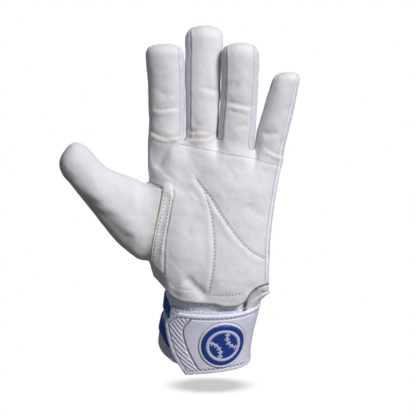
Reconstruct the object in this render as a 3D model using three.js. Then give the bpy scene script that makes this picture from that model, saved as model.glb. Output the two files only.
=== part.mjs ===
// A left-hand wicketkeeping inner glove, as if a hand were in it: fingers up (+Z), palm towards -Y and thumb
// towards -X. Millimetres. The origin is the centre of the wrist opening, at the rim of the cuff.
//
// The hand is one welded surface of quads, laid out finger by finger. Every quad belongs to a panel, such as
// the leather palm, the cloth back or a strip between two fingers. Each panel is trimmed back a little from
// its seams and given a wall, so the panels meet edge to edge as sewn pieces do. The cuff and the strap are
// patches of a leaning oval tube.
import * as THREE from "three";

const { clamp, degToRad, radToDeg, lerp, smoothstep } = THREE.MathUtils;

// Driving dimensions.
const seamGap = 0.36; // between two panels that are sewn together
const layerGap = 0.35; // between two pieces that lie on each other
const weldGrid = 200; // points that are one and the same to 1/200 mm are welded
const leatherWall = 2.0;
const clothWall = 1.5;
const fourchetteWall = 1.3;
const palmPlane = -16; // the hand's middle plane, in front of the wrist opening's centre
const handSquareness = 2.6; // exponent of the hand's oval sections, where 2 is an ellipse
const fingerSquareness = 2.15;
const tipSquareness = 2.8;

const chamois = { color: 0xe2e2e4, roughness: 0.92 };
const cloth = { color: 0xdedff0, roughness: 0.9 };
const towel = { color: 0xd0d3e8, roughness: 1 };
const whiteElastic = { color: 0xb9c2cf, roughness: 0.9 };
const blueElastic = { color: 0x1d3f86, roughness: 0.85 };
const strapRubber = { color: 0xcbc8d6, roughness: 0.55 };
const badgeBlue = { color: 0x1c3f9e, roughness: 0.4 };

// The hand without fingers, from the wrist up: its left and right edges, and how far its front and back stand
// from its middle plane. lean moves that plane back towards the wrist.
const hand = [
  { z: 40, left: -30.5, right: 46.8, front: 26.2, back: 30.0, lean: 4.0 },
  { z: 52, left: -32.0, right: 48.4, front: 26.2, back: 28.0, lean: 2.4 },
  { z: 63, left: -35.6, right: 48.8, front: 25.4, back: 24.0, lean: 1.0 },
  { z: 75, left: -39.8, right: 49.0, front: 23.6, back: 19.5, lean: 0.4 },
  { z: 89, left: -42.0, right: 49.3, front: 21.6, back: 17.0, lean: 0 },
  { z: 105, left: -41.0, right: 51.0, front: 19.4, back: 15.6, lean: 0 },
  { z: 122, left: -39.2, right: 53.6, front: 17.0, back: 14.4, lean: 0 },
  { z: 137, left: -39.8, right: 56.2, front: 15.2, back: 13.2, lean: 0 },
  { z: 150, left: -41.2, right: 59.0, front: 13.8, back: 12.4, lean: 0 },
  { z: 167, left: -40.6, right: 58.6, front: 12.2, back: 11.8, lean: 0 },
];

// The leather's lower edge and the line through the finger clefts, across the front.
const hemLine = [
  { x: -34, z: 62 },
  { x: -28, z: 53.6 },
  { x: -21, z: 49.0 },
  { x: -7, z: 47.6 },
  { x: 5, z: 46.8 },
  { x: 15, z: 44.8 },
  { x: 24, z: 45.4 },
  { x: 29.5, z: 48.6 },
  { x: 32, z: 53.4 },
  { x: 38, z: 57.6 },
  { x: 47, z: 59.6 },
];
const cleftLine = [
  { x: -40, z: 166.0 },
  { x: -14, z: 163.4 },
  { x: 9, z: 164.4 },
  { x: 35, z: 157.0 },
  { x: 58, z: 154.0 },
];
const backHem = 50; // height of the back panel's lower edge

// The thumb's seam on the palm, and the outer edge of the strip that is sewn along it.
const thumbSeam = [
  { z: 74, x: -37.8, strip: -30.8 },
  { z: 83, x: -37.4, strip: -29.8 },
  { z: 94, x: -35.9, strip: -28.0 },
  { z: 107, x: -33.1, strip: -25.5 },
  { z: 119, x: -30.5, strip: -23.1 },
  { z: 130, x: -28.7, strip: -22.0 },
];

// Each finger from its cleft to where its rounded end starts: its axis, half its width and half its depth. y
// is measured from the palm plane, and tip is the length of the rounded end.
const fingers = {
  index: {
    tip: 9.6,
    axis: [
      { z: 150, x: -26.9, y: 0.0, half: 13.0, deep: 11.8 },
      { z: 172, x: -26.3, y: -0.4, half: 12.7, deep: 11.6 },
      { z: 191, x: -26.3, y: -2.0, half: 12.9, deep: 11.4 },
      { z: 205, x: -26.5, y: -3.8, half: 12.9, deep: 11.2 },
      { z: 221, x: -27.3, y: -6.4, half: 13.3, deep: 10.8 },
    ],
    creases: [{ z: 171, depth: 1.3 }, { z: 187, depth: 0.9 }, { z: 201, depth: 0.8 }],
  },
  middle: {
    tip: 10.9,
    axis: [
      { z: 150, x: -2.4, y: 0.6, half: 11.0, deep: 11.8 },
      { z: 172, x: -1.6, y: 0.8, half: 11.6, deep: 11.6 },
      { z: 191, x: -0.8, y: 0.6, half: 12.2, deep: 11.4 },
      { z: 212, x: -0.2, y: 0.0, half: 12.7, deep: 11.2 },
      { z: 232, x: 0.3, y: -1.6, half: 13.3, deep: 10.8 },
    ],
    creases: [{ z: 169, depth: 1.6 }, { z: 199, depth: 1.0 }],
  },
  ring: {
    tip: 10.2,
    axis: [
      { z: 150, x: 22.2, y: -0.2, half: 13.2, deep: 11.8 },
      { z: 172, x: 23.7, y: -2.0, half: 13.3, deep: 11.5 },
      { z: 191, x: 25.0, y: -4.6, half: 13.1, deep: 11.2 },
      { z: 207, x: 25.5, y: -7.2, half: 13.1, deep: 11.0 },
      { z: 221, x: 25.4, y: -9.6, half: 13.2, deep: 10.6 },
    ],
    creases: [{ z: 190, depth: 1.1 }],
  },
  little: {
    tip: 7.9,
    axis: [
      { z: 140, x: 43.4, y: 0.0, half: 10.0, deep: 11.0 },
      { z: 156, x: 46.8, y: -0.8, half: 10.9, deep: 10.8 },
      { z: 170, x: 49.6, y: -2.4, half: 11.2, deep: 10.4 },
      { z: 186, x: 53.6, y: -4.8, half: 10.7, deep: 10.0 },
      { z: 203, x: 57.5, y: -7.8, half: 9.8, deep: 9.4 },
    ],
    creases: [{ z: 160, depth: 1.4 }, { z: 184, depth: 0.5 }],
  },
};
const fingerOrder = ["index", "middle", "ring", "little"];
const creaseReach = 3.2;

// Angles round a finger, from its palm side (0) towards the little finger. The leather front runs between the
// seams of the side strips, and wraps round the outer side of the index finger.
const backSeam = 128;
const indexWrap = -100;
const indexSide = -54; // from here to its wrap, the index finger's leather lies on its outer side
const frontAngles = {
  index: [indexWrap, -76, indexSide, -29, -4, 21, 46],
  middle: [-44, -16, 12, 40, 68],
  ring: [-46, -24, -2, 20, 42],
  little: [-70, -42, -14, 14, 42],
};
const backAngles = {
  little: [42, 71, 99, 128, 154, 180, 206, 232],
  ring: [128, 154, 180, 206, 232],
  middle: [128, 154, 180, 206, 232],
  index: [128, 154, 180, 206, 232, 360 + indexWrap],
};
const stripSteps = 3; // quads across a side strip
const ridgeSpan = 41; // how far the line over a fingertip runs, each way from its top
const fingerRows = 7;
const tipRows = 3;
const palmRows = 17;
const flareRows = 3; // rows below the clefts over which the palm takes up the fingers' shape
const thumbFootRow = 2; // the rows of the palm between which the thumb opens
const thumbCleftRow = 11;
const seamColumn = 2; // the palm's column that follows the thumb's seam, where the strip starts
const stripFade = 4; // rows over which the palm's columns come back from the thumb's seam
// Where the palm's rows lie between its hem and the clefts. Two of them are close together at the thumb's
// cleft.
const rowLevels = [
  { row: 0, share: 0 },
  { row: 10, share: 0.64 },
  { row: 11, share: 0.675 },
  { row: palmRows, share: 1 },
];
const hemRun = 0.3; // share of the back over which its hem comes down from the palm's
const hemClimb = 4; // how late it rises again to meet the palm's hem at the thumb's side

// The thumb past its seam: centre, half its width and depth, and how far its cross direction leans from
// upright.
const thumb = [
  { x: -44.5, y: -1.0, z: 103.0, half: 28.2, deep: 14.6, turn: 2 },
  { x: -50.5, y: -2.4, z: 107.0, half: 26.8, deep: 15.2, turn: 6 },
  { x: -58.5, y: -4.0, z: 112.6, half: 24.0, deep: 14.8, turn: 10 },
  { x: -67.2, y: -5.6, z: 120.0, half: 20.0, deep: 14.0, turn: 14 },
  { x: -75.3, y: -7.2, z: 127.9, half: 15.9, deep: 13.0, turn: 20 },
  { x: -82.2, y: -8.8, z: 136.0, half: 14.3, deep: 12.2, turn: 28 },
  { x: -87.6, y: -10.2, z: 143.6, half: 13.4, deep: 11.6, turn: 36 },
];
const thumbTip = new THREE.Vector3(-10.4, -1.6, 12.0); // from the last section to the end of the thumb
// Angles round the thumb from its palm side: of the seam on its upper edge, and of the ends of its back,
// which is sewn to the palm's leather at the cleft above it and below it. ridge is how far the line over its
// end runs.
const thumbTurns = { seam: 80, backTop: 110, backFoot: 245, seamRidge: 58, ridge: 62 };
const thumbBackTurn = 234; // where the thumb's seam runs on the back of the hand

// The wrist in the cuff, in the cuff's own frame, which leans: z runs up the wrist from the middle of its
// rim.
const cuffLean = 14;
const cuffSquareness = 2.2;
const wrist = [
  { z: -4, x: -1.2, half: 29.0, deep: 19.4 },
  { z: 10, x: -1.6, half: 30.4, deep: 19.6 },
  { z: 24, x: 0.4, half: 30.6, deep: 19.8 },
  { z: 38, x: 3.3, half: 30.7, deep: 20.0 },
  { z: 66, x: 6.6, half: 31.0, deep: 20.2 },
];

// Heights above the wrist of the layers on it.
const towelTop = 2.8;
const elasticTop = 2.0;
const stripeFrom = elasticTop + layerGap;
const stripeTop = stripeFrom + 0.8;
const loopFrom = towelTop + layerGap;
const loopTop = loopFrom + 1.1;
const strapFrom = loopTop + layerGap;
const strapTop = strapFrom + 1.8;
const strapRise = 0.6; // of the strap's rim and of its raised field
const badgeFrom = strapTop + strapRise + layerGap;
const badgeTop = badgeFrom + 0.9;
const badgeBevel = 0.35;

// Quads of the cuff's pieces, up the wrist and round it.
const cuffRows = 7;
const towelColumns = 12;
const elasticColumns = 24;
const bandRows = 3;
const stripeColumns = 20;
const loopColumns = 10;
const tabRows = 8;

// The cuff's lower and upper edges round the wrist; angle 0 is the palm side, and 90 the little finger's.
const cuffRim = [
  { angle: -90, foot: 11, top: 57 },
  { angle: -60, foot: 6.2, top: 60 },
  { angle: -41, foot: 2.9, top: 60 },
  { angle: 0, foot: -1.0, top: 61 },
  { angle: 45, foot: -0.8, top: 61 },
  { angle: 90, foot: 0, top: 58 },
  { angle: 180, foot: 5, top: 49 },
  { angle: 225, foot: 8, top: 52 },
  { angle: 270, foot: 11, top: 57 },
  { angle: 300, foot: 6.2, top: 60 },
  { angle: 319, foot: 2.9, top: 62 },
];
const towelSeam = [
  { z: 0, angle: -41 },
  { z: 30, angle: -46 },
  { z: 44, angle: -54 },
  { z: 48.5, angle: -61 },
  { z: 53, angle: -74 },
  { z: 62, angle: -84 },
];
const slit = [
  { z: 0, angle: 45 },
  { z: 44, angle: 45 },
  { z: 59, angle: 50 },
];
const seamTurn = 1.8; // degrees between the cuff's panels at their seam
const slitTurn = 1.8; // degrees that the slit is open
const stripes = {
  blue_band_upper: { foot: 40.3, top: 50.5 },
  blue_band_lower: { foot: 22.4, top: 32.3 },
};
const stripeStart = 112; // angle from which the stripes run round the back
// How far the stripes hang down towards their ends at the towelling.
const stripeSag = [
  { angle: stripeStart, drop: 0 },
  { angle: 285, drop: 0 },
  { angle: 300, drop: 2.4 },
  { angle: 311, drop: 6.5 },
  { angle: 320, drop: 10 },
];
const loopPatch = { left: -52, right: 38, foot: 38, top: 47.2 };

// The strap's edges, and the raised field on it that carries the badge.
const strapFoot = [
  { angle: -20, z: -3.6 },
  { angle: 0, z: -2.2 },
  { angle: 32, z: -1.4 },
  { angle: 66, z: -2.6 },
  { angle: 104, z: -3.2 },
];
const strapHead = 45.4;
const strapTail = 104; // angle where the strap is sewn to the back of the cuff
const strapLeft = [
  { z: -3.6, angle: -20.3 },
  { z: 15.4, angle: -37.4 },
  { z: 33.9, angle: -53.6 },
  { z: 36.8, angle: -53.2 },
  { z: 43.9, angle: -39.2 },
  { z: 45.4, angle: -37.0 },
];
const fieldLeft = [
  { z: -3.6, angle: 0.5 },
  { z: 10.5, angle: -10.7 },
  { z: 21.9, angle: -20.1 },
  { z: 30.9, angle: -26.1 },
  { z: 35.2, angle: -26.4 },
  { z: 39.3, angle: -22.7 },
  { z: 45.4, angle: -16.0 },
];
const fieldRight = 58;
const fieldColumns = 14;
const tailColumns = 5;
const fieldRows = 6; // rows between the field's borders
const fieldClear = 9; // degrees from the strap's left edge to the field, at least
const fieldStep = { left: 1.2, right: 1.5 }; // degrees over which the field's border rises
const tailFrom = 8; // degrees from the field to the plain tail
const leftRim = [
  { turn: 0, rise: 0 },
  { turn: 1.6, rise: 1 },
  { turn: 4.0, rise: 1 },
  { turn: 5.6, rise: 0 },
];
// Rows of the strap next to its lower edge, and mirrored at its upper one: rim, channel and the field's
// border.
const borderRows = [
  { up: 0, rim: 0, field: 0 },
  { up: 1, rim: 1, field: 1 },
  { up: 2.4, rim: 1, field: 1 },
  { up: 3.2, rim: 0, field: 0 },
  { up: 4.2, rim: 0, field: 0 },
  { up: 5.0, rim: 0, field: 1 },
];
const badge = { angle: 21.6, z: 21.1, radius: 16.4, spokes: 40, rings: [0.45, 0.8, 0.96] };
const walkStep = 0.5; // degrees at a time, where a way is measured round the cuff

// The folded facing of the slit: its two long edges from the strap upwards, and how high it stands between
// them.
const tabRoute = [
  { share: 0, from: 45.5, fromZ: 46.2, to: 56.0, toZ: 46.0, rise: 2.6 },
  { share: 0.3, from: 47.0, fromZ: 51.5, to: 61.5, toZ: 47.5, rise: 4.4 },
  { share: 0.6, from: 53.0, fromZ: 57.0, to: 72.0, toZ: 49.0, rise: 5.2 },
  { share: 1, from: 72.0, fromZ: 57.5, to: 88.0, toZ: 50.5, rise: 6.5 },
];
const tabProfile = [
  { across: 0, rise: 0 },
  { across: 0.22, rise: 1 },
  { across: 0.5, rise: 0.55 },
  { across: 0.78, rise: 0.9 },
  { across: 1, rise: 0.1 },
];
const tabWall = 1.6;

// The sewn channels and main folds of the palm, each a line across the front that is sunk in by depth.
const thumbLine = [{ x: -6, z: 136 }, { x: 5.5, z: 119.5 }, { x: 22, z: 97.5 }, { x: 45, z: 78 }];
const middleLine = [{ x: -6, z: 136 }, { x: 3, z: 120.5 }, { x: 7.2, z: 97.5 }, { x: 4.2, z: 54 }];
const fingerLine = [{ x: -38, z: 163 }, { x: -17, z: 159 }, { x: 38, z: 148.5 }, { x: 56, z: 144 }];
const channels = [
  { depth: 1.3, reach: 4.5, line: thumbLine },
  { depth: 1.1, reach: 4.5, line: middleLine },
  { depth: 1.2, reach: 4.0, line: fingerLine },
  { depth: 2.2, reach: 4.5, line: [{ x: -17, z: 162 }, { x: -24, z: 149 }, { x: -32, z: 134 }] },
  { depth: 0.8, reach: 4.0, line: [{ x: -10, z: 62 }, { x: -3, z: 52 }] },
];
// Its pads, and the hollow below the index and middle fingers.
const pads = [
  { x: -14, z: 88, wide: 17, high: 24, rise: 2.6 },
  { x: 32, z: 74, wide: 16, high: 20, rise: 2.0 },
  { x: 26, z: 128, wide: 24, high: 15, rise: 1.8 },
  { x: -8, z: 138, wide: 14, high: 14, rise: -3.0 },
];

// The value of a table's named column at a place along another column, on a smooth curve through the rows.
function read(table, key, column, at) {
  const last = table.length - 1;
  let i = 0;
  while (i < last - 1 && at > table[i + 1][key]) i++;
  const slope = (a, b) => (table[b][column] - table[a][column]) / (table[b][key] - table[a][key]);
  const tangent = (k) => slope(Math.max(0, k - 1), Math.min(last, k + 1));
  const span = table[i + 1][key] - table[i][key];
  const t = clamp((at - table[i][key]) / span, 0, 1);
  const bend = (1 - t) * tangent(i) * span - t * tangent(i + 1) * span;
  const ease = t * t * (3 - 2 * t);
  return lerp(table[i][column], table[i + 1][column], ease) + t * (1 - t) * bend;
}

// The same along straight stretches, for outlines with corners.
function readStraight(table, key, column, at) {
  let i = 0;
  while (i < table.length - 2 && at > table[i + 1][key]) i++;
  const t = clamp((at - table[i][key]) / (table[i + 1][key] - table[i][key]), 0, 1);
  return lerp(table[i][column], table[i + 1][column], t);
}

// A direction in an oval section, scaled to lie on the oval whose half axes are 1.
function onOval(angle, squareness) {
  const [s, c] = [Math.sin(degToRad(angle)), Math.cos(degToRad(angle))];
  const size = (Math.abs(s) ** squareness + Math.abs(c) ** squareness) ** (-1 / squareness);
  return [s * size, c * size];
}

// The angle at which the front of an oval reaches a share of its half width.
function angleAcross(share, squareness) {
  const side = Math.min(0.9999, Math.abs(share)) ** squareness;
  return radToDeg(Math.atan((side / (1 - side)) ** (1 / squareness))) * Math.sign(share);
}

const bump = (distance, reach) => Math.exp(-((distance / reach) ** 2));
const steps = (from, to, count) => Array.from({ length: count + 1 }, (_, k) => lerp(from, to, k / count));
const countTo = (count) => [...Array(count).keys()];
const pairs = (list) => list.slice(1).map((item, k) => [list[k], item]);
const around = (loop) => loop.map((item, k) => [item, loop[(k + 1) % loop.length]]);

// Distance from a point of the front to a line through points, all in x and z.
function distanceTo(line, x, z) {
  const target = new THREE.Vector3(x, 0, z);
  const stretches = pairs(line.map((p) => new THREE.Vector3(p.x, 0, p.z)));
  const foot = ([a, b]) => new THREE.Line3(a, b).closestPointToPoint(target, true, new THREE.Vector3());
  return Math.min(...stretches.map((stretch) => foot(stretch).distanceTo(target)));
}

function palmRelief(x, z) {
  const padAt = (p) => p.rise * bump(Math.hypot((x - p.x) / p.wide, (z - p.z) / p.high), 1);
  const padded = pads.reduce((sum, p) => sum + padAt(p), 0);
  return channels.reduce((sum, c) => sum - c.depth * bump(distanceTo(c.line, x, z), c.reach), padded);
}

// A point of the plain hand. Its front has the palm's relief.
function handPoint(turn, z) {
  const [s, c] = onOval(turn, handSquareness);
  const x = lerp(read(hand, "z", "left", z), read(hand, "z", "right", z), (1 + s) / 2);
  const front = () => read(hand, "z", "front", z) + palmRelief(x, z) * smoothstep(c, 0.05, 0.6);
  const depth = c > 0 ? front() : read(hand, "z", "back", z);
  return new THREE.Vector3(x, read(hand, "z", "lean", z) - depth * c, z);
}

// The turn at which the front of the hand reaches x.
function handTurn(x, z) {
  const [left, right] = [read(hand, "z", "left", z), read(hand, "z", "right", z)];
  return angleAcross((2 * x - left - right) / (right - left), handSquareness);
}

function fingerPoint(name, angle, z) {
  const { axis, creases } = fingers[name];
  const [s, c] = onOval(angle, fingerSquareness);
  const crease = creases.reduce((sum, k) => sum + k.depth * bump(z - k.z, creaseReach), 0) * Math.max(0, c);
  const depth = read(axis, "z", "deep", z) - crease;
  const x = read(axis, "z", "x", z) + read(axis, "z", "half", z) * s;
  return new THREE.Vector3(x, read(axis, "z", "y", z) - depth * c, z);
}

// A point of a rounded end. A share of 0 is on the last section, at angle, and 1 on the ridge over the end,
// at ridge.
function roundedEnd({ centre, across, deep, along }, angle, ridge, share) {
  const [a, r, turn] = [degToRad(angle), degToRad(ridge), (share * Math.PI) / 2];
  const way = new THREE.Vector3(lerp(Math.sin(a), Math.sin(r), share), 0, 0);
  way.y = Math.cos(a) * Math.cos(turn);
  way.z = Math.cos(r) * Math.sin(turn);
  const [x, y, z] = [way.x, way.y, way.z].map(Math.abs);
  const flat = (x ** fingerSquareness + y ** fingerSquareness) ** (1 / fingerSquareness);
  const size = (flat ** tipSquareness + z ** tipSquareness) ** (-1 / tipSquareness);
  const point = centre.clone().addScaledVector(across, way.x * size);
  return point.addScaledVector(deep, way.y * size).addScaledVector(along, way.z * size);
}

// Where on the ridge a finger's angle ends. The side strips' angles all end in its end points.
function ridgeAt(name, angle) {
  const turn = angle > 180 ? angle - 360 : angle;
  const left = name === "index" ? indexSide : frontAngles[name][0];
  const front = (2 * (turn - left)) / (frontAngles[name].at(-1) - left) - 1;
  const share = Math.abs(turn) <= 90 ? front : (Math.sign(turn) * 180 - turn) / (180 - backSeam);
  return ridgeSpan * clamp(share, -1, 1);
}

function fingerEnd(name, angle, share) {
  const { axis, tip } = fingers[name];
  const [below, last] = axis.slice(-2);
  const rise = tip / (last.z - below.z);
  const end = {
    centre: new THREE.Vector3(last.x, last.y, last.z),
    across: new THREE.Vector3(last.half, 0, 0),
    deep: new THREE.Vector3(0, -last.deep, 0),
    along: new THREE.Vector3((last.x - below.x) * rise, (last.y - below.y) * rise, tip),
  };
  return roundedEnd(end, angle, ridgeAt(name, angle), share);
}

// The foot of a finger, on the line through the clefts.
function fingerFoot(name, angle) {
  const guess = fingerPoint(name, angle, fingers[name].axis[1].z).x;
  return fingerPoint(name, angle, read(cleftLine, "x", "z", guess));
}

// A finger's points at one angle, from its foot over its length to the ridge of its tip.
function fingerColumn(name, angle) {
  const foot = fingerFoot(name, angle);
  const head = fingers[name].axis.at(-1).z;
  const side = steps(foot.z, head, fingerRows).map((z) => fingerPoint(name, angle, z));
  const end = steps(0, 1, tipRows).map((share) => fingerEnd(name, angle, share));
  return [foot, ...side.slice(1), ...end.slice(1)];
}

// The hand's surface. A quad knows its panel, and points in one place are one point.
class Skin {
  points = [];
  places = new Map();
  quads = [];

  point(p) {
    const key = [p.x, p.y, p.z].map((v) => Math.round(v * weldGrid)).join();
    if (!this.places.has(key)) this.places.set(key, this.points.push(p.clone()) - 1);
    return this.places.get(key);
  }

  // Quads between rows of points. Seen from outside, rows run to the right and follow each other upwards.
  // panelAt names the panel of the quad at a row and column, or none where the surface is open.
  addGrid(rows, panelAt) {
    const ids = rows.map((row) => row.map((p) => this.point(p)));
    pairs(ids).forEach(([lower, upper], row) => {
      for (let i = 0; i + 1 < lower.length; i++) {
        const loop = around([lower[i], lower[i + 1], upper[i + 1], upper[i]]);
        const corners = loop.filter(([v, next]) => v !== next).map(([v]) => v);
        const panel = panelAt(row, i);
        if (panel && corners.length > 2) this.quads.push({ panel, corners });
      }
    });
  }

  normals() {
    const sums = this.points.map(() => new THREE.Vector3());
    for (const { corners } of this.quads) {
      const n = loopNormal(corners.map((v) => this.points[v]));
      for (const v of corners) sums[v].add(n);
    }
    return sums.map((n) => n.normalize());
  }
}

function loopNormal([first, ...rest]) {
  const spokes = rest.map((p) => p.clone().sub(first));
  return pairs(spokes).reduce((sum, [a, b]) => sum.add(a.clone().cross(b)), new THREE.Vector3());
}

// The columns of points round the hand, each at a finger's angle. turn is its place round the plain hand.
function handColumns(names, angles) {
  return names.flatMap((name) =>
    angles[name].map((angle) => {
      const foot = fingerFoot(name, angle);
      const across = handTurn(foot.x, foot.z);
      const turn = Math.cos(degToRad(angle)) < 0 ? 180 - across : across;
      return { foot, turn: angle < 0 && turn > 180 ? turn - 360 : turn };
    }),
  );
}

const frontColumns = handColumns(fingerOrder, frontAngles);
const backColumns = handColumns([...fingerOrder].reverse(), backAngles);
const rightSide = frontColumns.at(-1).turn;
const palmSide = thumbCleftRow - thumbFootRow; // quads along the thumb's seam on the palm
const inThumb = (row) => row > thumbFootRow && row < thumbCleftRow;
const rowHeight = (row, foot, head) => lerp(foot, head, readStraight(rowLevels, "row", "share", row));

// A point of the hand on its way up to the finger above it.
function risingPoint(column, turn, row, hem) {
  const p = handPoint(turn, rowHeight(row, hem, column.foot.z));
  const share = smoothstep(row, palmRows - flareRows, palmRows);
  return p.addScaledVector(column.foot.clone().sub(handPoint(column.turn, column.foot.z)), share);
}

// One of the palm's columns follows the thumb's seam where the thumb opens, and the others make room for it.
function frontRow(row) {
  const height = rowHeight(row, hemLine[0].z, cleftLine[0].z);
  const seam = handTurn(read(thumbSeam, "z", "x", height), height);
  const strip = handTurn(read(thumbSeam, "z", "strip", height), height);
  const rise = smoothstep(row, thumbFootRow - stripFade, thumbFootRow);
  const pull = rise * (1 - smoothstep(row, thumbCleftRow, thumbCleftRow + stripFade));
  const [outer, inner] = [frontColumns[0].turn, frontColumns[seamColumn + 1].turn];
  return frontColumns.map((column, i) => {
    const beside = lerp(outer, seam, i / seamColumn);
    const across = lerp(strip, rightSide, (column.turn - inner) / (rightSide - inner));
    const turn = lerp(column.turn, i > seamColumn ? across : beside, pull);
    return risingPoint(column, turn, row, read(hemLine, "x", "z", handPoint(turn, hemLine[0].z).x));
  });
}

function backRow(row, front) {
  const open = inThumb(row) ? Math.sin((Math.PI * (row - thumbFootRow)) / (thumbCleftRow - thumbFootRow)) : 0;
  const last = backColumns.length - 1;
  const leftTurn = lerp(backColumns[last].turn, thumbBackTurn, open);
  return backColumns.map((column, i) => {
    if (i === 0) return front.at(-1);
    if (i === last && !inThumb(row)) return front[0];
    const share = (column.turn - rightSide) / (backColumns[last].turn - rightSide);
    const lower = lerp(hemLine.at(-1).z, backHem, smoothstep(share, 0, hemRun));
    const hem = lerp(lower, hemLine[0].z, share ** hemClimb);
    return risingPoint(column, lerp(rightSide, leftTurn, share), row, hem);
  });
}

// Rows of points from the thumb's seam out to the ridge over its tip. They run up its palm side, along the
// cleft, down its back and along its foot.
function thumbRows(loop) {
  const { seam, backTop, backFoot, seamRidge, ridge } = thumbTurns;
  const runs = [
    steps(seam - 180, seam, palmSide),
    steps(seam, backTop, seamColumn),
    steps(backTop, backFoot, palmSide),
    steps(backFoot, seam + 180, seamColumn),
  ];
  const angles = [seam - 180, ...runs.flatMap((run) => run.slice(1))];
  const ridges = [...steps(-ridge, seamRidge, palmSide), ...steps(seamRidge, ridge, seamColumn).slice(1)];
  const ridgeAtPlace = (i) => ridges[Math.min(i, loop.length - 1 - i)];
  const rowAt = (place, share) => {
    const turn = degToRad(place.turn);
    const end = {
      centre: new THREE.Vector3(place.x, place.y, place.z),
      across: new THREE.Vector3(Math.sin(turn), 0, Math.cos(turn)).multiplyScalar(place.half),
      deep: new THREE.Vector3(0, -place.deep, 0),
      along: thumbTip,
    };
    return angles.map((angle, i) => roundedEnd(end, angle, ridgeAtPlace(i), share));
  };
  const ends = steps(0, 1, tipRows).slice(1);
  return [loop, ...thumb.map((place) => rowAt(place, 0)), ...ends.map((share) => rowAt(thumb.at(-1), share))];
}

function buildSkin() {
  const skin = new Skin();
  const front = countTo(palmRows + 1).map((row) => frontRow(row));
  const back = front.map((points, row) => backRow(row, points));
  skin.addGrid(front, (row, column) => {
    const besideThumb = column <= seamColumn && row >= thumbFootRow && row < thumbCleftRow;
    if (besideThumb) return column === seamColumn ? "thumb_strip" : null;
    return "palm_leather";
  });
  skin.addGrid(back, () => "back_panel");

  const upright = (columns) => columns[0].map((_, row) => columns.map((column) => column[row]));
  for (const name of fingerOrder) {
    skin.addGrid(upright(frontAngles[name].map((angle) => fingerColumn(name, angle))), () => "palm_leather");
    skin.addGrid(upright(backAngles[name].map((angle) => fingerColumn(name, angle))), () => "back_panel");
  }
  for (const [left, right] of pairs(fingerOrder)) {
    const strip = () => `fourchette_${left}_${right}`;
    const near = steps(frontAngles[left].at(-1), backSeam, stripSteps);
    const far = steps(360 - backSeam, 360 + frontAngles[right][0], stripSteps);
    const nearSide = near.map((angle) => fingerColumn(left, angle));
    const farSide = far.map((angle) => fingerColumn(right, angle));
    skin.addGrid(upright(nearSide), strip);
    skin.addGrid(upright(farSide), strip);
    skin.addGrid(nearSide.map((column, i) => [column[0], farSide[stripSteps - i][0]]), strip);
  }

  const upFront = front.slice(thumbFootRow, thumbCleftRow + 1).map((points) => points[seamColumn]);
  const alongCleft = front[thumbCleftRow].slice(0, seamColumn).reverse();
  const downBack = back.slice(thumbFootRow, thumbCleftRow).map((points) => points.at(-1)).reverse();
  const alongFoot = front[thumbFootRow].slice(1, seamColumn + 1);
  skin.addGrid(thumbRows([...upFront, ...alongCleft, ...downBack, ...alongFoot]), (_, column) =>
    column < palmSide ? "thumb_leather" : "thumb_back",
  );
  return skin;
}

// The edges of quads that no other quad of the list shares.
function openEdges(quads) {
  const all = quads.flatMap(around);
  const known = new Set(all.map(([a, b]) => `${a},${b}`));
  return all.filter(([a, b]) => !known.has(`${b},${a}`));
}

// A closed solid between an outer and an inner layer of points, with a wall round the open edges of the
// quads.
function closedShell(quads, outer, inner) {
  const used = [...new Set(quads.flat())];
  const over = new Map(used.map((v, k) => [v, k]));
  const under = new Map(used.map((v, k) => [v, k + used.length]));
  const index = [];
  for (const q of quads) {
    const keep = q.length < 4 || outer[q[0]].distanceTo(outer[q[2]]) < outer[q[1]].distanceTo(outer[q[3]]);
    const [first, ...rest] = keep ? q : [...q.slice(1), q[0]];
    for (const [a, b] of pairs(rest)) {
      index.push(over.get(first), over.get(a), over.get(b));
      index.push(under.get(first), under.get(b), under.get(a));
    }
  }
  // The wall's diagonals run alike on both sides of a seam: from over the higher numbered point.
  for (const [a, b] of openEdges(quads)) {
    const ring = [over.get(b), over.get(a), under.get(a), under.get(b)];
    const [p, q, r, t] = a < b ? ring : [...ring.slice(1), ring[0]];
    index.push(p, q, r, r, t, p);
  }
  const points = [...used.map((v) => outer[v]), ...used.map((v) => inner[v])];
  const geometry = new THREE.BufferGeometry().setFromPoints(points);
  geometry.setIndex(index);
  geometry.computeVertexNormals();
  return geometry;
}

// A panel of the skin with its wall. Its edges are pulled in by half the seam's gap.
function panelShell(skin, normals, panel, wall) {
  const quads = skin.quads.filter((q) => q.panel === panel).map((q) => q.corners);
  const pulls = new Map();
  for (const [a, b] of openEdges(quads))
    for (const v of [a, b]) {
      const along = skin.points[b].clone().sub(skin.points[a]);
      pulls.set(v, [...(pulls.get(v) ?? []), normals[v].clone().cross(along).normalize()]);
    }
  const outer = [...skin.points];
  for (const [v, inwards] of pulls) {
    const sum = inwards.reduce((total, way) => total.add(way), new THREE.Vector3());
    const corner = Math.max(0.5, sum.lengthSq() / inwards.length);
    outer[v] = skin.points[v].clone().addScaledVector(sum, seamGap / 2 / corner);
  }
  const inner = outer.map((p, v) => p.clone().addScaledVector(normals[v], -wall));
  return closedShell(quads, outer, inner);
}

// A point of the cuff, at a height above the wrist.
function cuffPoint(angle, z, height) {
  const [s, c] = onOval(angle, cuffSquareness);
  const x = read(wrist, "z", "x", z) + (read(wrist, "z", "half", z) + height) * s;
  return new THREE.Vector3(x, -(read(wrist, "z", "deep", z) + height) * c, z);
}

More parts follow.
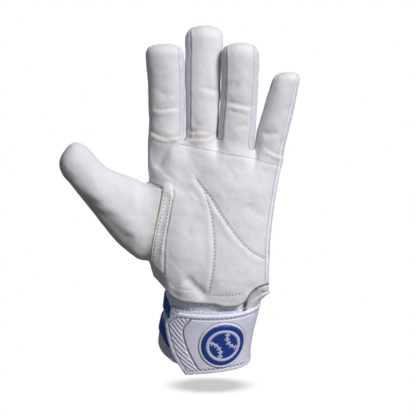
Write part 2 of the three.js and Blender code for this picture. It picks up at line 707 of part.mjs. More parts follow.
// A solid patch of the cuff from rows of places, each with its angle, z and the heights of its under and
// upper side.
function cuffPatch(rows) {
  const wide = rows[0].length;
  const places = rows.flat();
  const corners = places.map((_, v) => [v, v + 1, v + 1 + wide, v + wide]);
  const quads = corners.filter(([v]) => v % wide < wide - 1 && v < places.length - wide);
  const outer = places.map((p) => cuffPoint(p.angle, p.z, p.over));
  const inner = places.map((p) => cuffPoint(p.angle, p.z, p.under));
  return closedShell(quads, outer, inner);
}

// A cuff panel between two edges that are functions of z, from the rim to the cuff's top under the hand.
function cuffPanel(leftAt, rightAt, columns, over) {
  const middle = wrist[2].z;
  return cuffPatch(
    steps(0, 1, cuffRows).map((up) =>
      steps(0, 1, columns).map((share) => {
        const guess = lerp(leftAt(middle), rightAt(middle), share);
        const z = lerp(read(cuffRim, "angle", "foot", guess), read(cuffRim, "angle", "top", guess), up);
        return { angle: lerp(leftAt(z), rightAt(z), share), z, under: 0, over };
      }),
    ),
  );
}

const towelLeft = (z) => read(towelSeam, "z", "angle", z);
const slitLeft = (z) => read(slit, "z", "angle", z);
const backLeft = (z) => 360 + towelLeft(z) - seamTurn;

function stripe({ foot, top }) {
  const sagAt = (angle) => read(stripeSag, "angle", "drop", angle);
  const place = (angle, z) => ({ angle, z: z - sagAt(angle), under: stripeFrom, over: stripeTop });
  const rowAt = (z) => {
    const end = backLeft(z - sagAt(backLeft(z)));
    return steps(stripeStart, end, stripeColumns).map((angle) => place(angle, z));
  };
  return cuffPatch(steps(foot, top, bandRows).map(rowAt));
}

function loopPatchShape() {
  const { left, right, foot, top } = loopPatch;
  const place = (angle, z) => ({ angle, z, under: loopFrom, over: loopTop });
  const rowAt = (z) => steps(left, right, loopColumns).map((angle) => place(angle, z));
  return cuffPatch(steps(foot, top, bandRows).map(rowAt));
}

// The strap: a rim along its edges, a channel inside the rim, and a raised field.
function wristStrap() {
  const border = borderRows.at(-1).up;
  const lower = borderRows.map((row) => ({ ...row, zAt: (foot) => foot + row.up }));
  const upper = borderRows.map((row) => ({ ...row, zAt: () => strapHead - row.up })).reverse();
  const between = steps(0, 1, fieldRows).slice(1, -1);
  const middle = between.map((share) => ({
    rim: 0,
    field: 1,
    zAt: (foot) => lerp(foot + border, strapHead - border, share),
  }));
  const footAt = (angle) => read(strapFoot, "angle", "z", angle);
  const rows = [...lower, ...middle, ...upper].map((row, k, all) => {
    const z = row.zAt(footAt(0));
    const left = readStraight(strapLeft, "z", "angle", z);
    const start = Math.max(left + fieldClear, read(fieldLeft, "z", "angle", z));
    const atEdge = k === 0 || k === all.length - 1;
    const rimRise = (rise) => (atEdge ? 0 : Math.max(rise, row.rim));
    const rim = leftRim.map(({ turn, rise }) => ({ angle: left + turn, rise: rimRise(rise) }));
    const field = steps(start, fieldRight, fieldColumns).map((angle) => ({ angle, rise: row.field }));
    const tailAngles = steps(fieldRight + tailFrom, strapTail, tailColumns);
    const tail = tailAngles.map((angle) => ({ angle, rise: row.rim }));
    rim[0].rise = 0;
    tail.at(-1).rise = 0;
    const columns = [
      ...rim,
      { angle: start - fieldStep.left, rise: row.rim },
      ...field,
      { angle: fieldRight + fieldStep.right, rise: row.rim },
      ...tail,
    ];
    return columns.map(({ angle, rise }) => {
      return { angle, z: row.zAt(footAt(angle)), under: strapFrom, over: strapTop + strapRise * rise };
    });
  });
  return cuffPatch(rows);
}

// The angle that lies a run of millimetres round the cuff from another angle.
function angleAfter(from, run, z, height) {
  const pace = Math.sign(run) * walkStep;
  let [angle, left, here] = [from, Math.abs(run), cuffPoint(from, z, height)];
  while (left > 0) {
    const next = cuffPoint(angle + pace, z, height);
    const length = next.distanceTo(here);
    angle += pace * Math.min(1, left / length);
    left -= length;
    here = next;
  }
  return angle;
}

// A disc that lies on the strap's field: rings of places round its middle.
function strapBadge() {
  const { angle, z, radius, spokes, rings } = badge;
  const middle = cuffPoint(angle, z, badgeTop);
  const ringAt = (share, height) =>
    steps(0, 2 * Math.PI, spokes)
      .slice(1)
      .map((way) => {
        const up = z + Math.sin(way) * share * radius;
        const shift = read(wrist, "z", "x", up) - read(wrist, "z", "x", z);
        return cuffPoint(angleAfter(angle, Math.cos(way) * share * radius - shift, up, badgeTop), up, height);
      });
  const face = rings.flatMap((share) => ringAt(share, badgeTop));
  const under = [...rings, 1].flatMap((share) => ringAt(share, badgeFrom));
  const outer = [middle, ...face, ...ringAt(1, badgeTop - badgeBevel)];
  const inner = [cuffPoint(angle, z, badgeFrom), ...under];
  const turns = around(countTo(spokes));
  const quads = turns.map(([k, next]) => [0, 1 + k, 1 + next]);
  for (let a = 1; a + spokes < outer.length; a += spokes)
    for (const [k, next] of turns) quads.push([a + k, a + spokes + k, a + spokes + next, a + next]);
  return closedShell(quads, outer, inner);
}

// The leather facing of the slit, folded back over itself: it stands off the cuff between its two edges.
function sideTab() {
  const place = (share, { across, rise }) => {
    const at = (column) => read(tabRoute, "share", column, share);
    const under = towelTop + layerGap + at("rise") * rise;
    const angle = lerp(at("from"), at("to"), across);
    return { angle, z: lerp(at("fromZ"), at("toZ"), across), under, over: under + tabWall };
  };
  return cuffPatch(tabProfile.map((profile) => steps(1, 0, tabRows).map((share) => place(share, profile))));
}

function named(name, geometry, look) {
  const mesh = new THREE.Mesh(geometry, new THREE.MeshStandardMaterial({ metalness: 0, ...look }));
  mesh.name = name;
  return mesh;
}

function handGroup() {
  const skin = buildSkin();
  const normals = skin.normals();
  const panel = (name, wall, look) => named(name, panelShell(skin, normals, name, wall), look);
  const group = new THREE.Group();
  group.position.y = palmPlane;
  group.add(panel("palm_leather", leatherWall, chamois));
  group.add(panel("thumb_leather", leatherWall, chamois));
  group.add(panel("thumb_strip", leatherWall, chamois));
  group.add(panel("thumb_back", clothWall, cloth));
  group.add(panel("back_panel", clothWall, cloth));
  for (const [left, right] of pairs(fingerOrder))
    group.add(panel(`fourchette_${left}_${right}`, fourchetteWall, cloth));
  return group;
}

function cuffGroup() {
  const group = new THREE.Group();
  group.rotation.x = degToRad(cuffLean);
  group.add(named("cuff_terry", cuffPanel(towelLeft, slitLeft, towelColumns, towelTop), towel));
  const backRight = (z) => slitLeft(z) + slitTurn;
  group.add(named("cuff_back", cuffPanel(backRight, backLeft, elasticColumns, elasticTop), whiteElastic));
  for (const [name, band] of Object.entries(stripes)) group.add(named(name, stripe(band), blueElastic));
  group.add(named("loop_patch", loopPatchShape(), cloth));
  group.add(named("wrist_strap", wristStrap(), strapRubber));
  group.add(named("strap_badge", strapBadge(), badgeBlue));
  group.add(named("side_tab", sideTab(), chamois));
  return group;
}

const glove = new THREE.Group();
glove.add(handGroup(), cuffGroup());
export default glove;
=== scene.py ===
"""The looks of a left-hand wicketkeeping inner glove, held up as if a hand were in it.

The hand is the same welded cage of quads as the model's, subdivided and then shaped finely: seams, sewn
channels, creases and folds. Each panel is a piece of its own. The cuff, bands and strap are fine patches of
the leaning oval wrist. Sizes are in millimetres until a mesh is made.
"""

import bpy
import math
import numpy as np
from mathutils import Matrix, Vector
from mathutils.bvhtree import BVHTree
from mathutils.kdtree import KDTree


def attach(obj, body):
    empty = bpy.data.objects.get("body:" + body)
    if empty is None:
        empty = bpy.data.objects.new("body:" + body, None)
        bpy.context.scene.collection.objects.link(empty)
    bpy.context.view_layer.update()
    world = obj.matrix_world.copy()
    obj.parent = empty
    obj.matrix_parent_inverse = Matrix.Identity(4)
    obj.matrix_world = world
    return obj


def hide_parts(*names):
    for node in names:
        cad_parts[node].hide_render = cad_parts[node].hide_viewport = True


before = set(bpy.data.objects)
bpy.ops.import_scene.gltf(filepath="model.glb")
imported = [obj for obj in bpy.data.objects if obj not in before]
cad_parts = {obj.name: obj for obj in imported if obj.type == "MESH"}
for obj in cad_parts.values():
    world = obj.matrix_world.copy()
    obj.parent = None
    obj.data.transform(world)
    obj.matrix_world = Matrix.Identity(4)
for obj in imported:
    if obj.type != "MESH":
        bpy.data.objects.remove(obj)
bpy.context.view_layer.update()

PALM_PLANE = -16.0
HAND_SQUARE, FINGER_SQUARE, TIP_SQUARE, CUFF_SQUARE = 2.6, 2.15, 2.8, 2.2
CUFF_LEAN = math.radians(14)

# z, left, right, front, back, lean
HAND = [
    (40, -30.5, 46.8, 26.2, 30.0, 4.0),
    (52, -32.0, 48.4, 26.2, 28.0, 2.4),
    (63, -35.6, 48.8, 25.4, 24.0, 1.0),
    (75, -39.8, 49.0, 23.6, 19.5, 0.4),
    (89, -42.0, 49.3, 21.6, 17.0, 0),
    (105, -41.0, 51.0, 19.4, 15.6, 0),
    (122, -39.2, 53.6, 17.0, 14.4, 0),
    (137, -39.8, 56.2, 15.2, 13.2, 0),
    (150, -41.2, 59.0, 13.8, 12.4, 0),
    (167, -40.6, 58.6, 12.2, 11.8, 0),
]
# x, z
HEM = [(-34, 62), (-28, 53.6), (-21, 49.0), (-7, 47.6), (5, 46.8), (15, 44.8), (24, 45.4), (29.5, 48.6),
       (32, 53.4), (38, 57.6), (47, 59.6)]
CLEFTS = [(-40, 166.0), (-14, 163.4), (9, 164.4), (35, 157.0), (58, 154.0)]
BACK_HEM = 50
# z, x of the thumb's seam, x of the strip's outer edge
THUMB_SEAM = [
    (74, -37.8, -30.8),
    (83, -37.4, -29.8),
    (94, -35.9, -28.0),
    (107, -33.1, -25.5),
    (119, -30.5, -23.1),
    (130, -28.7, -22.0),
]
# z, x, y, half, deep
FINGERS = {
    "index": [(150, -26.9, 0.0, 13.0, 11.8), (172, -26.3, -0.4, 12.7, 11.6), (191, -26.3, -2.0, 12.9, 11.4),
              (205, -26.5, -3.8, 12.9, 11.2), (221, -27.3, -6.4, 13.3, 10.8)],
    "middle": [(150, -2.4, 0.6, 11.0, 11.8), (172, -1.6, 0.8, 11.6, 11.6), (191, -0.8, 0.6, 12.2, 11.4),
               (212, -0.2, 0.0, 12.7, 11.2), (232, 0.3, -1.6, 13.3, 10.8)],
    "ring": [(150, 22.2, -0.2, 13.2, 11.8), (172, 23.7, -2.0, 13.3, 11.5), (191, 25.0, -4.6, 13.1, 11.2),
             (207, 25.5, -7.2, 13.1, 11.0), (221, 25.4, -9.6, 13.2, 10.6)],
    "little": [(140, 43.4, 0.0, 10.0, 11.0), (156, 46.8, -0.8, 10.9, 10.8), (170, 49.6, -2.4, 11.2, 10.4),
               (186, 53.6, -4.8, 10.7, 10.0), (203, 57.5, -7.8, 9.8, 9.4)],
}
TIPS = {"index": 9.6, "middle": 10.9, "ring": 10.2, "little": 7.9}
CREASES = {
    "index": [(171, 1.3), (187, 0.9), (201, 0.8)],
    "middle": [(169, 1.6), (199, 1.0)],
    "ring": [(190, 1.1)],
    "little": [(160, 1.4), (184, 0.5)],
}
CREASE_REACH = 3.2
ORDER = ["index", "middle", "ring", "little"]
BACK_SEAM, WRAP, SIDE = 128, -100, -54
FRONT = {
    "index": [WRAP, -76, SIDE, -29, -4, 21, 46],
    "middle": [-44, -16, 12, 40, 68],
    "ring": [-46, -24, -2, 20, 42],
    "little": [-70, -42, -14, 14, 42],
}
BACK = {
    "little": [42, 71, 99, 128, 154, 180, 206, 232],
    "ring": [128, 154, 180, 206, 232],
    "middle": [128, 154, 180, 206, 232],
    "index": [128, 154, 180, 206, 232, 360 + WRAP],
}
STRIP_STEPS, RIDGE_SPAN, FINGER_ROWS, TIP_ROWS, PALM_ROWS, FLARE_ROWS = 3, 41, 7, 3, 17, 3
FOOT_ROW, CLEFT_ROW, SEAM_COLUMN, STRIP_FADE = 2, 11, 2, 4
ROW_LEVELS = [(0, 0), (10, 0.64), (11, 0.675), (PALM_ROWS, 1)]
# x, y, z, half, deep, turn
THUMB = [
    (-44.5, -1.0, 103.0, 28.2, 14.6, 2),
    (-50.5, -2.4, 107.0, 26.8, 15.2, 6),
    (-58.5, -4.0, 112.6, 24.0, 14.8, 10),
    (-67.2, -5.6, 120.0, 20.0, 14.0, 14),
    (-75.3, -7.2, 127.9, 15.9, 13.0, 20),
    (-82.2, -8.8, 136.0, 14.3, 12.2, 28),
    (-87.6, -10.2, 143.6, 13.4, 11.6, 36),
]
THUMB_TIP = np.array([-10.4, -1.6, 12.0])
THUMB_SEAM_TURN, BACK_TOP, BACK_FOOT, SEAM_RIDGE, THUMB_RIDGE, THUMB_BACK = 80, 110, 245, 58, 62, 234
# x, z, wide, high, rise
PADS = [(-14, 88, 17, 24, 2.6), (32, 74, 16, 20, 2.0), (26, 128, 24, 15, 1.8), (-8, 138, 14, 14, -3.0)]

PANELS = ["palm_leather", "thumb_leather", "thumb_strip", "thumb_back", "back_panel",
          "fourchette_index_middle", "fourchette_middle_ring", "fourchette_ring_little"]


def read(rows, column, at):
    """A table's column at a place along its first column, on a smooth curve through the rows."""
    t = np.asarray(rows, float)
    at = np.asarray(at, float)
    keys, vals, last = t[:, 0], t[:, column], len(t) - 1
    i = np.searchsorted(keys[1:-1], at, side="left")
    k = np.arange(last + 1)
    a, b = np.maximum(0, k - 1), np.minimum(last, k + 1)
    tangent = (vals[b] - vals[a]) / (keys[b] - keys[a])
    span = keys[i + 1] - keys[i]
    u = np.clip((at - keys[i]) / span, 0, 1)
    bend = (1 - u) * tangent[i] * span - u * tangent[i + 1] * span
    return vals[i] + (vals[i + 1] - vals[i]) * u * u * (3 - 2 * u) + u * (1 - u) * bend


def straight(rows, column, at):
    t = np.asarray(rows, float)
    return np.interp(at, t[:, 0], t[:, column])


def ease(v, low, high):
    u = np.clip((np.asarray(v, float) - low) / (high - low), 0, 1)
    return u * u * (3 - 2 * u)


def lerp(a, b, u):
    return a + (b - a) * u


def on_oval(angle, square):
    s, c = np.sin(np.radians(angle)), np.cos(np.radians(angle))
    size = (np.abs(s) ** square + np.abs(c) ** square) ** (-1 / square)
    return s * size, c * size


def bump(distance, reach):
    return np.exp(-((distance / reach) ** 2))


def to_line(line, x, z):
    """Points' distance from a line through points, less than 0 on its right hand, and their run to
    its nearer end."""
    pts = np.asarray(line, float)
    steps = np.diff(pts, axis=0)
    runs = np.hypot(*steps.T)
    starts = np.concatenate([[0], np.cumsum(runs)])
    side, along = np.full(np.shape(x), 1e9), np.zeros(np.shape(x))
    for k, step in enumerate(steps):
        dx, dz = x - pts[k][0], z - pts[k][1]
        u = np.clip((dx * step[0] + dz * step[1]) / (step @ step), 0, 1)
        away = np.hypot(dx - u * step[0], dz - u * step[1])
        near = away < np.abs(side)
        side = np.where(near, np.where(step[0] * dz < step[1] * dx, -away, away), side)
        along = np.where(near, starts[k] + u * runs[k], along)
    return side, np.minimum(along, starts[-1] - along)


def angle_across(share):
    side = min(0.9999, abs(share)) ** HAND_SQUARE
    return math.degrees(math.atan((side / (1 - side)) ** (1 / HAND_SQUARE))) * (1 if share > 0 else -1)


def hand_point(turn, z):
    s, c = on_oval(turn, HAND_SQUARE)
    x = lerp(read(HAND, 1, z), read(HAND, 2, z), (1 + s) / 2)
    if c > 0:
        relief = sum(r * math.exp(-(((x - px) / w) ** 2 + ((z - pz) / h) ** 2)) for px, pz, w, h, r in PADS)
        depth = read(HAND, 3, z) + relief * ease(c, 0.05, 0.6)
    else:
        depth = read(HAND, 4, z)
    return np.array([x, read(HAND, 5, z) - depth * c, z], float)


def hand_turn(x, z):
    left, right = read(HAND, 1, z), read(HAND, 2, z)
    return angle_across((2 * x - left - right) / (right - left))


def finger_point(name, angle, z):
    s, c = on_oval(angle, FINGER_SQUARE)
    axis = FINGERS[name]
    crease = 0.6 * sum(d * math.exp(-(((z - cz) / CREASE_REACH) ** 2)) for cz, d in CREASES[name]) * max(0, c)
    depth = read(axis, 4, z) - crease
    return np.array([read(axis, 1, z) + read(axis, 3, z) * s, read(axis, 2, z) - depth * c, z], float)


def rounded_end(centre, across, deep, along, angle, ridge, share):
    a, r, turn = math.radians(angle), math.radians(ridge), share * math.pi / 2
    way = np.array([lerp(math.sin(a), math.sin(r), share), math.cos(a) * math.cos(turn),
                    math.cos(r) * math.sin(turn)])
    x, y, z = np.abs(way)
    flat = (x**FINGER_SQUARE + y**FINGER_SQUARE) ** (1 / FINGER_SQUARE)
    size = (flat**TIP_SQUARE + z**TIP_SQUARE) ** (-1 / TIP_SQUARE)
    return centre + (across * way[0] + deep * way[1] + along * way[2]) * size


def ridge_at(name, angle):
    turn = angle - 360 if angle > 180 else angle
    sign = 1 if turn > 0 else -1
    left = SIDE if name == "index" else FRONT[name][0]
    front_share = 2 * (turn - left) / (FRONT[name][-1] - left) - 1
    share = front_share if abs(turn) <= 90 else (sign * 180 - turn) / (180 - BACK_SEAM)
    return RIDGE_SPAN * min(1, max(-1, share))


def finger_end(name, angle, share):
    below, last = (np.array(row, float) for row in FINGERS[name][-2:])
    tip = TIPS[name]
    rise = tip / (last[0] - below[0])
    centre = np.array([last[1], last[2], last[0]])
    along = np.array([(last[1] - below[1]) * rise, (last[2] - below[2]) * rise, tip])
    across, deep = np.array([last[3], 0, 0]), np.array([0, -last[4], 0])
    return rounded_end(centre, across, deep, along, angle, ridge_at(name, angle), share)


def finger_foot(name, angle):
    guess = finger_point(name, angle, FINGERS[name][1][0])[0]
    return finger_point(name, angle, float(read(CLEFTS, 1, guess)))


def finger_column(name, angle):
    foot = finger_foot(name, angle)
    head = FINGERS[name][-1][0]
    side = [finger_point(name, angle, z) for z in np.linspace(foot[2], head, FINGER_ROWS + 1)[1:]]
    return [foot, *side, *(finger_end(name, angle, s) for s in np.linspace(0, 1, TIP_ROWS + 1)[1:])]


class Skin:
    def __init__(self):
        self.points, self.places, self.quads, self.panels = [], {}, [], []

    def point(self, p):
        key = tuple(np.round(np.asarray(p) * 200).astype(int))
        if key not in self.places:
            self.places[key] = len(self.points)
            self.points.append(np.asarray(p, float))
        return self.places[key]

    def grid(self, rows, panel_at):
        ids = [[self.point(p) for p in row] for row in rows]
        for r in range(len(ids) - 1):
            low, up = ids[r], ids[r + 1]
            for i in range(len(low) - 1):
                loop = [low[i], low[i + 1], up[i + 1], up[i]]
                corners = [v for k, v in enumerate(loop) if v != loop[(k + 1) % 4]]
                if len(corners) > 2 and panel_at(r, i):
                    self.quads.append(corners)
                    self.panels.append(PANELS.index(panel_at(r, i)))


def hand_columns(names, angles):
    found = []
    for name in names:
        for angle in angles[name]:
            foot = finger_foot(name, angle)
            across = hand_turn(foot[0], foot[2])
            turn = 180 - across if math.cos(math.radians(angle)) < 0 else across
            found.append((foot, turn - 360 if angle < 0 and turn > 180 else turn))
    return found


def build_skin():
    front_columns, back_columns = hand_columns(ORDER, FRONT), hand_columns(ORDER[::-1], BACK)
    right = front_columns[-1][1]

    def in_thumb(row):
        return FOOT_ROW < row < CLEFT_ROW

    def rising(column, turn, row, hem):
        foot, own = column
        p = hand_point(turn, lerp(hem, foot[2], float(straight(ROW_LEVELS, 1, row))))
        return p + (foot - hand_point(own, foot[2])) * ease(row, PALM_ROWS - FLARE_ROWS, PALM_ROWS)

    def front_row(row):
        height = lerp(HEM[0][1], CLEFTS[0][1], float(straight(ROW_LEVELS, 1, row)))
        seam, strip = (hand_turn(read(THUMB_SEAM, k, height), height) for k in (1, 2))
        pull = ease(row, FOOT_ROW - STRIP_FADE, FOOT_ROW) * (1 - ease(row, CLEFT_ROW, CLEFT_ROW + STRIP_FADE))
        outer, inner = front_columns[0][1], front_columns[SEAM_COLUMN + 1][1]
        made = []
        for i, column in enumerate(front_columns):
            across = lerp(strip, right, (column[1] - inner) / (right - inner))
            turn = lerp(column[1], across if i > SEAM_COLUMN else lerp(outer, seam, i / SEAM_COLUMN), pull)
            made.append(rising(column, turn, row, float(read(HEM, 1, hand_point(turn, HEM[0][1])[0]))))
        return made

    def back_row(row, front):
        span = CLEFT_ROW - FOOT_ROW
        opened = math.sin(math.pi * (row - FOOT_ROW) / span) if in_thumb(row) else 0
        last = len(back_columns) - 1
        left = lerp(back_columns[last][1], THUMB_BACK, opened)
        made = []
        for i, column in enumerate(back_columns):
            if i == 0:
                made.append(front[-1])
            elif i == last and not in_thumb(row):
                made.append(front[0])
            else:
                share = (column[1] - right) / (back_columns[last][1] - right)
                hem = lerp(lerp(HEM[-1][1], BACK_HEM, ease(share, 0, 0.3)), HEM[0][1], share**4)
                made.append(rising(column, lerp(right, left, share), row, float(hem)))
        return made

    skin = Skin()
    front = [front_row(row) for row in range(PALM_ROWS + 1)]
    back = [back_row(row, points) for row, points in enumerate(front)]

    def front_panel(r, i):
        if i <= SEAM_COLUMN and r in range(FOOT_ROW, CLEFT_ROW):
            return "thumb_strip" if i == SEAM_COLUMN else None
        return "palm_leather"

    skin.grid(front, front_panel)
    skin.grid(back, lambda r, i: "back_panel")

    def upright(columns):
        return [[column[row] for column in columns] for row in range(len(columns[0]))]

    for name in ORDER:
        skin.grid(upright([finger_column(name, a) for a in FRONT[name]]), lambda r, i: "palm_leather")
        skin.grid(upright([finger_column(name, a) for a in BACK[name]]), lambda r, i: "back_panel")
    for left, to_right in zip(ORDER, ORDER[1:]):
        strip = f"fourchette_{left}_{to_right}"
        near = [finger_column(left, a) for a in np.linspace(FRONT[left][-1], BACK_SEAM, STRIP_STEPS + 1)]
        turns = np.linspace(360 - BACK_SEAM, 360 + FRONT[to_right][0], STRIP_STEPS + 1)
        far = [finger_column(to_right, a) for a in turns]
        skin.grid(upright(near), lambda r, i: strip)
        skin.grid(upright(far), lambda r, i: strip)
        skin.grid([[column[0], far[STRIP_STEPS - i][0]] for i, column in enumerate(near)], lambda r, i: strip)

    loop = [points[SEAM_COLUMN] for points in front[FOOT_ROW : CLEFT_ROW + 1]]
    loop += front[CLEFT_ROW][:SEAM_COLUMN][::-1]
    loop += [points[-1] for points in back[FOOT_ROW:CLEFT_ROW]][::-1]
    loop += front[FOOT_ROW][1 : SEAM_COLUMN + 1]
    span = CLEFT_ROW - FOOT_ROW
    marks = [THUMB_SEAM_TURN - 180, THUMB_SEAM_TURN, BACK_TOP, BACK_FOOT, THUMB_SEAM_TURN + 180]
    runs = [np.linspace(a, b, n + 1)[1:] for a, b, n in zip(marks, marks[1:], (span, SEAM_COLUMN) * 2)]
    angles = [marks[0], *np.concatenate(runs)]
    ridges = [*np.linspace(-THUMB_RIDGE, SEAM_RIDGE, span + 1),
              *np.linspace(SEAM_RIDGE, THUMB_RIDGE, SEAM_COLUMN + 1)[1:]]
    rows = [loop]
    places = [(place, 0) for place in THUMB] + [(THUMB[-1], s) for s in np.linspace(0, 1, TIP_ROWS + 1)[1:]]
    for (x, y, z, wide, deep, lean), share in places:
        turn = math.radians(lean)
        across = np.array([math.sin(turn), 0, math.cos(turn)]) * wide
        row = []
        for i, angle in enumerate(angles):
            ridge = ridges[min(i, len(angles) - 1 - i)]
            centre = np.array([x, y, z])
            row.append(rounded_end(centre, across, np.array([0, -deep, 0]), THUMB_TIP, angle, ridge, share))
        rows.append(row)
    skin.grid(rows, lambda r, i: "thumb_leather" if i < span else "thumb_back")
    return skin


# Meshes.


def to_arrays(mesh):
    points = np.empty(len(mesh.vertices) * 3)
    mesh.vertices.foreach_get("co", points)
    corners = np.empty(len(mesh.loops), int)
    mesh.loops.foreach_get("vertex_index", corners)
    kinds = np.empty(len(mesh.polygons), int)
    mesh.polygons.foreach_get("material_index", kinds)
    return points.reshape(-1, 3), corners.reshape(-1, 4), kinds


def subdivided(points, quads, panels, level):
    mesh = bpy.data.meshes.new("cage")
    mesh.from_pydata([tuple(p) for p in points], [], quads)
    mesh.polygons.foreach_set("material_index", panels)
    cage = bpy.data.objects.new("cage", mesh)
    bpy.context.collection.objects.link(cage)
    smooth = cage.modifiers.new("smooth", "SUBSURF")
    smooth.levels = smooth.render_levels = level
    done = cage.evaluated_get(bpy.context.evaluated_depsgraph_get())
    found = to_arrays(done.to_mesh())
    done.to_mesh_clear()
    bpy.data.objects.remove(cage)
    bpy.data.meshes.remove(mesh)
    return found


def normals_of(points, quads):
    a, b, c, d = (points[quads[:, k]] for k in range(4))
    face = np.cross(c - a, d - b)
    total = np.zeros_like(points)
    for k in range(4):
        np.add.at(total, quads[:, k], face)
    return total / np.maximum(np.linalg.norm(total, axis=1, keepdims=True), 1e-9)


def open_edges(quads):
    edges = np.concatenate([quads[:, [k, (k + 1) % 4]] for k in range(4)])
    base = int(edges.max()) + 1
    code, back = edges[:, 0] * base + edges[:, 1], edges[:, 1] * base + edges[:, 0]
    return edges[~np.isin(code, back)]


def piece(name, points, faces, look, stands_for=None, marks=None, sharp=50):
    """A piece of the glove, from points in millimetres. marks are values of its own at each point,
    for its material."""
    mesh = bpy.data.meshes.new(name)
    flat = np.ascontiguousarray(points, np.float32) / 1000
    mesh.from_pydata(flat.tolist(), [], [list(map(int, f)) for f in faces])
    for key, values in (marks or {}).items():
        mesh.attributes.new(key, "FLOAT", "POINT").data.foreach_set("value", np.asarray(values, np.float32))
    mesh.polygons.foreach_set("use_smooth", np.ones(len(mesh.polygons), bool))
    mesh.set_sharp_from_angle(angle=math.radians(sharp))
    mesh.materials.append(look)
    obj = bpy.data.objects.new(name, mesh)
    bpy.context.collection.objects.link(obj)
    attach(obj, "root")
    for node in [stands_for] if isinstance(stands_for, str) else stands_for or []:
        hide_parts(node)
    return obj


def waves(points, count, shortest, longest, seed):
    """A soft unevenness between about -1 and 1, made of plane waves."""
    draw = np.random.default_rng(seed)
    ways = draw.normal(size=(count, 3))
    ways /= np.linalg.norm(ways, axis=1, keepdims=True)
    lengths = draw.uniform(shortest, longest, count)
    phases = draw.uniform(0, 2 * np.pi, count)
    total = sum(np.sin(points @ w * (2 * np.pi / l) + p) for w, l, p in zip(ways, lengths, phases))
    return total / math.sqrt(count / 2) / 2


# Materials.


def node(tree, kind, inputs=None, **props):
    made = tree.nodes.new(kind)
    for key, value in props.items():
        setattr(made, key, value)
    for key, value in (inputs or {}).items():
        if isinstance(value, bpy.types.NodeSocket):
            tree.links.new(value, made.inputs[key])
        else:
            made.inputs[key].default_value = value
    return made


def srgb(r, g, b):
    def one(v):
        v /= 255
        return v / 12.92 if v <= 0.04045 else ((v + 0.055) / 1.055) ** 2.4

    return (one(r), one(g), one(b), 1)


class Look:
    """A procedural material, with its colour and bump built up in steps."""

    def __init__(self, name, colour, roughness, **shader):
        self.material = bpy.data.materials.new(name)
        self.material.use_nodes = True
        self.tree = self.material.node_tree
        self.shader = self.tree.nodes["Principled BSDF"]
        self.shader.inputs["Roughness"].default_value = roughness
        for key, value in shader.items():
            self.shader.inputs[key.replace("_", " ")].default_value = value
        self.colour = node(self.tree, "ShaderNodeRGB").outputs[0]
        self.colour.default_value = colour
        self.height = None
        self.place = node(self.tree, "ShaderNodeTexCoord").outputs["Object"]

    def noise(self, scale, detail=2, rough=0.5, stretch=None):
        place = self.place
        if stretch:
            place = node(self.tree, "ShaderNodeMapping", {"Vector": place, "Scale": stretch}).outputs[0]
        settings = {"Vector": place, "Scale": scale, "Detail": detail, "Roughness": rough}
        return node(self.tree, "ShaderNodeTexNoise", settings).outputs[0]

    def mark(self, name):
        return node(self.tree, "ShaderNodeAttribute", attribute_name=name).outputs["Fac"]

    def math(self, operation, a, b=0.0):
        return node(self.tree, "ShaderNodeMath", {0: a, 1: b}, operation=operation).outputs[0]

    def spread(self, value, low, high, to_low=0.0, to_high=1.0):
        settings = {"Value": value, "From Min": low, "From Max": high, "To Min": to_low, "To Max": to_high}
        return node(self.tree, "ShaderNodeMapRange", settings, interpolation_type="SMOOTHSTEP").outputs[0]

    def tint(self, share, colour, blend="MIX"):
        mix = node(self.tree, "ShaderNodeMix", {"Factor": share}, data_type="RGBA", blend_type=blend)
        self.tree.links.new(self.colour, mix.inputs[6])
        mix.inputs[7].default_value = colour
        self.colour = mix.outputs[2]
        return self

    def raised(self, value, millimetres):
        add = self.math("MULTIPLY", value, millimetres / 1000)
        self.height = add if self.height is None else self.math("ADD", self.height, add)
        return self

    def axis(self, k):
        return node(self.tree, "ShaderNodeSeparateXYZ", {0: self.place}).outputs[k]

    def done(self):
        self.tree.links.new(self.colour, self.shader.inputs["Base Color"])
        if self.height is not None:
            bump_node = node(self.tree, "ShaderNodeBump",
                             {"Height": self.height, "Strength": 1.0, "Distance": 1.0})
            self.tree.links.new(bump_node.outputs[0], self.shader.inputs["Normal"])
        return self.material


def chamois_look(name, colour=(224, 223, 226)):
    look = Look(name, srgb(*colour), 0.92, Sheen_Weight=0.12, Sheen_Roughness=0.6, Specular_IOR_Level=0.2)
    look.tint(look.spread(look.noise(70, 3), 0.35, 0.75, 0, 0.35), srgb(214, 213, 218))
    look.tint(look.spread(look.noise(420, 4, 0.6), 0.4, 0.72, 0, 0.3), srgb(206, 205, 208))
    look.tint(look.mark("cream"), srgb(204, 188, 164))
    look.tint(look.mark("shade"), srgb(140, 132, 128))
    look.raised(look.noise(2600, 3, 0.7), 0.10).raised(look.noise(600, 3, 0.6), 0.16)
    return look.done()


def cloth_look(name, colour=(222, 221, 230), pitch=0.75):
    look = Look(name, srgb(*colour), 0.85, Sheen_Weight=0.15, Specular_IOR_Level=0.25)
    turns = 2 * math.pi * 1000 / pitch
    x, y, z = (look.math("SINE", look.math("MULTIPLY", look.axis(k), turns)) for k in range(3))
    weave = look.math("ADD", look.math("MULTIPLY", x, z), look.math("MULTIPLY", y, z))
    look.raised(weave, 0.07)
    # Painted shade: the weave is darker in its low spots, where its bump dips.
    look.tint(look.spread(weave, -0.2, -0.9, 0, 0.3), srgb(206, 206, 220))
    look.tint(look.spread(look.noise(90, 2), 0.4, 0.8, 0, 0.4), srgb(216, 218, 238))
    look.tint(look.mark("shade"), srgb(160, 152, 152))
    return look.done()


